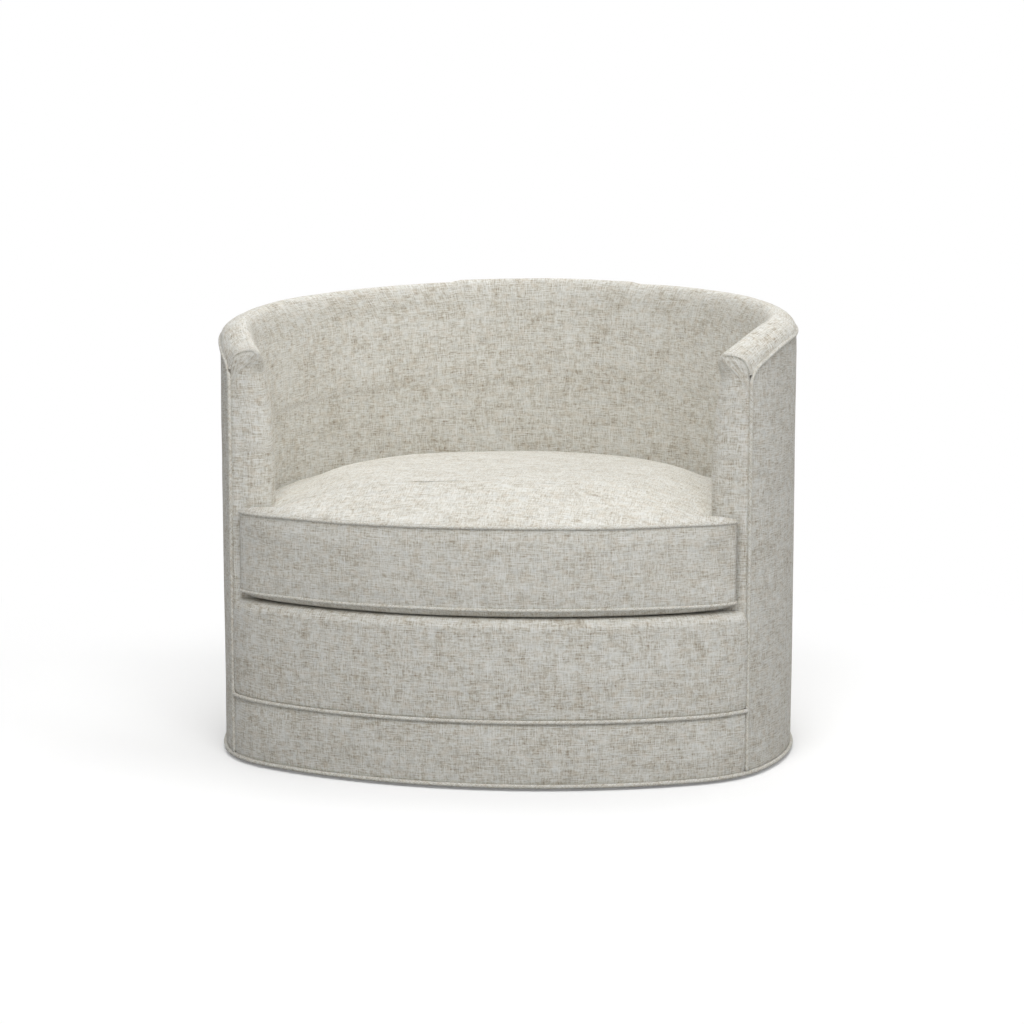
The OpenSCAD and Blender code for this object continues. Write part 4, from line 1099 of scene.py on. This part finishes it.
# ================================================================ stage
def stage():
    """The floor: it keeps the chair's shadow, and gives back less light than the camera sees in it."""
    n = Nodes("floor")
    cloud = n.range(n.noise(n.place(), 1.5, 2.0), 0.3, 0.7)

    def matt(light, dark):
        colour = n.mix(cloud, rgb(light, light, light), rgb(dark, dark, dark))
        return n.node("ShaderNodeBsdfDiffuse", {"Color": colour, "Roughness": 0.6})

    def glow(strength):
        return n.node("ShaderNodeEmission", {"Color": rgb(1, 1, 1), "Strength": strength})

    def blend(factor, a, b):
        return n.node("ShaderNodeMixShader", {0: factor, 1: a, 2: b})

    # What the camera sees: a pale floor with the chair's shadow, white further out
    path = n.tree.nodes.new("ShaderNodeLightPath")
    seen_ray = n.math("MAXIMUM", n.math("MAXIMUM", path.outputs[0], path.outputs[3]), path.outputs[6])
    x, y, _ = n.parts(n.place())
    out_x = n.math("DIVIDE", x, FLOOR_SEEN[0])
    out_y = n.math("DIVIDE", y, FLOOR_SEEN[1])
    away = n.math("SQRT", n.math("ADD", n.math("MULTIPLY", out_x, out_x), n.math("MULTIPLY", out_y, out_y)))
    near = n.node("ShaderNodeAddShader", {0: matt(0.86, 0.85), 1: glow(FLOOR_GLOW)})
    seen = blend(n.range(away, 0.6, 1.5), near, glow(1.0))
    out = n.tree.nodes.new("ShaderNodeOutputMaterial")
    n.set(out.inputs[0], blend(seen_ray, matt(FLOOR_BOUNCE, FLOOR_BOUNCE * 0.97), seen))
    points = [(x * FLOOR_SIZE, y * FLOOR_SIZE, 0) for x, y in ((-1, -1), (1, -1), (1, 1), (-1, 1))]
    floor = new_mesh("floor", points, [(0, 1, 2, 3)], smooth=False)
    floor.data.materials.append(n.material)


def surround():
    """The world: white where the camera looks past the floor, and an even fill for everything else."""
    world = bpy.data.worlds.new("studio")
    bpy.context.scene.world = world
    world.use_nodes = True
    tree = world.node_tree
    tree.nodes.clear()
    out = tree.nodes.new("ShaderNodeOutputWorld")
    seen, fill = (tree.nodes.new("ShaderNodeBackground") for _ in range(2))
    for background, strength in ((seen, 1.0), (fill, WORLD_FILL)):
        background.inputs[0].default_value = rgb(1, 1, 1)
        background.inputs[1].default_value = strength
    path = tree.nodes.new("ShaderNodeLightPath")
    pick = tree.nodes.new("ShaderNodeMixShader")
    seen_ray = tree.nodes.new("ShaderNodeMath")
    seen_ray.operation = "MAXIMUM"
    tree.links.new(path.outputs[0], seen_ray.inputs[0])
    tree.links.new(path.outputs[6], seen_ray.inputs[1])
    tree.links.new(seen_ray.outputs[0], pick.inputs[0])
    tree.links.new(fill.outputs[0], pick.inputs[1])
    tree.links.new(seen.outputs[0], pick.inputs[2])
    tree.links.new(pick.outputs[0], out.inputs[0])


def look_at(obj, at, aim):
    obj.location = at
    obj.rotation_euler = (Vector(aim) - Vector(at)).to_track_quat("-Z", "Y").to_euler()
    bpy.context.scene.collection.objects.link(obj)


def lights():
    for name, at, aim, width, height, power in LIGHTS:
        data = bpy.data.lights.new(name, "AREA")
        data.shape = "RECTANGLE"
        data.size, data.size_y = width, height
        data.energy = power
        look_at(bpy.data.objects.new(name, data), at, aim)


def camera():
    data = bpy.data.cameras.new("camera")
    data.lens = CAMERA_LENS
    data.sensor_width = data.sensor_height = CAMERA_SENSOR
    data.clip_end = 60
    obj = bpy.data.objects.new("camera", data)
    look_at(obj, CAMERA_AT, CAMERA_AIM)
    bpy.context.scene.camera = obj
    bpy.context.scene.view_settings.view_transform = "Standard"


# ================================================================ everything together
def dress_frame(materials):
    """Gives every node of the frame that stays the procedural finish of its slot."""
    slots = {s["node"]: s["material_slot"] for s in frame["record"]["subparts"]}
    for name, obj in frame["nodes"].items():
        material = materials[slots[name]]
        if not obj.data.materials:
            obj.data.materials.append(material)
        for i in range(len(obj.material_slots)):
            obj.material_slots[i].material = material


def upholster(materials):
    fabric, welt = materials["linen_fabric"], materials["welt_fabric"]
    dress(outside_cover(), "chair", "linen_fabric", fabric, "outside_cover", "outside_panel")
    inside = dress(
        inside_cover(), "chair", "linen_fabric", fabric,
        "inside_cover", "arm_front_left", "arm_front_right", "wall_padding",
    )
    rail = dress(rail_cover(), "chair", "linen_fabric", fabric, "rail_cover", "front_padding")
    dress(base_band(), "chair", "linen_fabric", fabric, "base_band")
    dress(deck_cover(), "chair", "linen_fabric", fabric, "deck_cover", "deck_felt")
    for obj, node in zip(welts(), ("edge_welt", "mid_welt", "bottom_welt")):
        dress(obj, "chair", "welt_fabric", welt, node)
    cushion = dress(
        cushion_cover(), "cushion", "linen_fabric", materials["cushion_fabric"],
        "cushion_cover", "cushion_core",
    )
    for obj, node in zip(cushion_welts(), ("cushion_top_welt", "cushion_bottom_welt")):
        dress(obj, "cushion", "welt_fabric", welt, node)
    dress(zip_tape(), "cushion", "zip_fabric", materials["zip_fabric"], "zip_tape")


materials = make_materials()
camera()
lights()
stage()
surround()
dress_frame(materials)
upholster(materials)
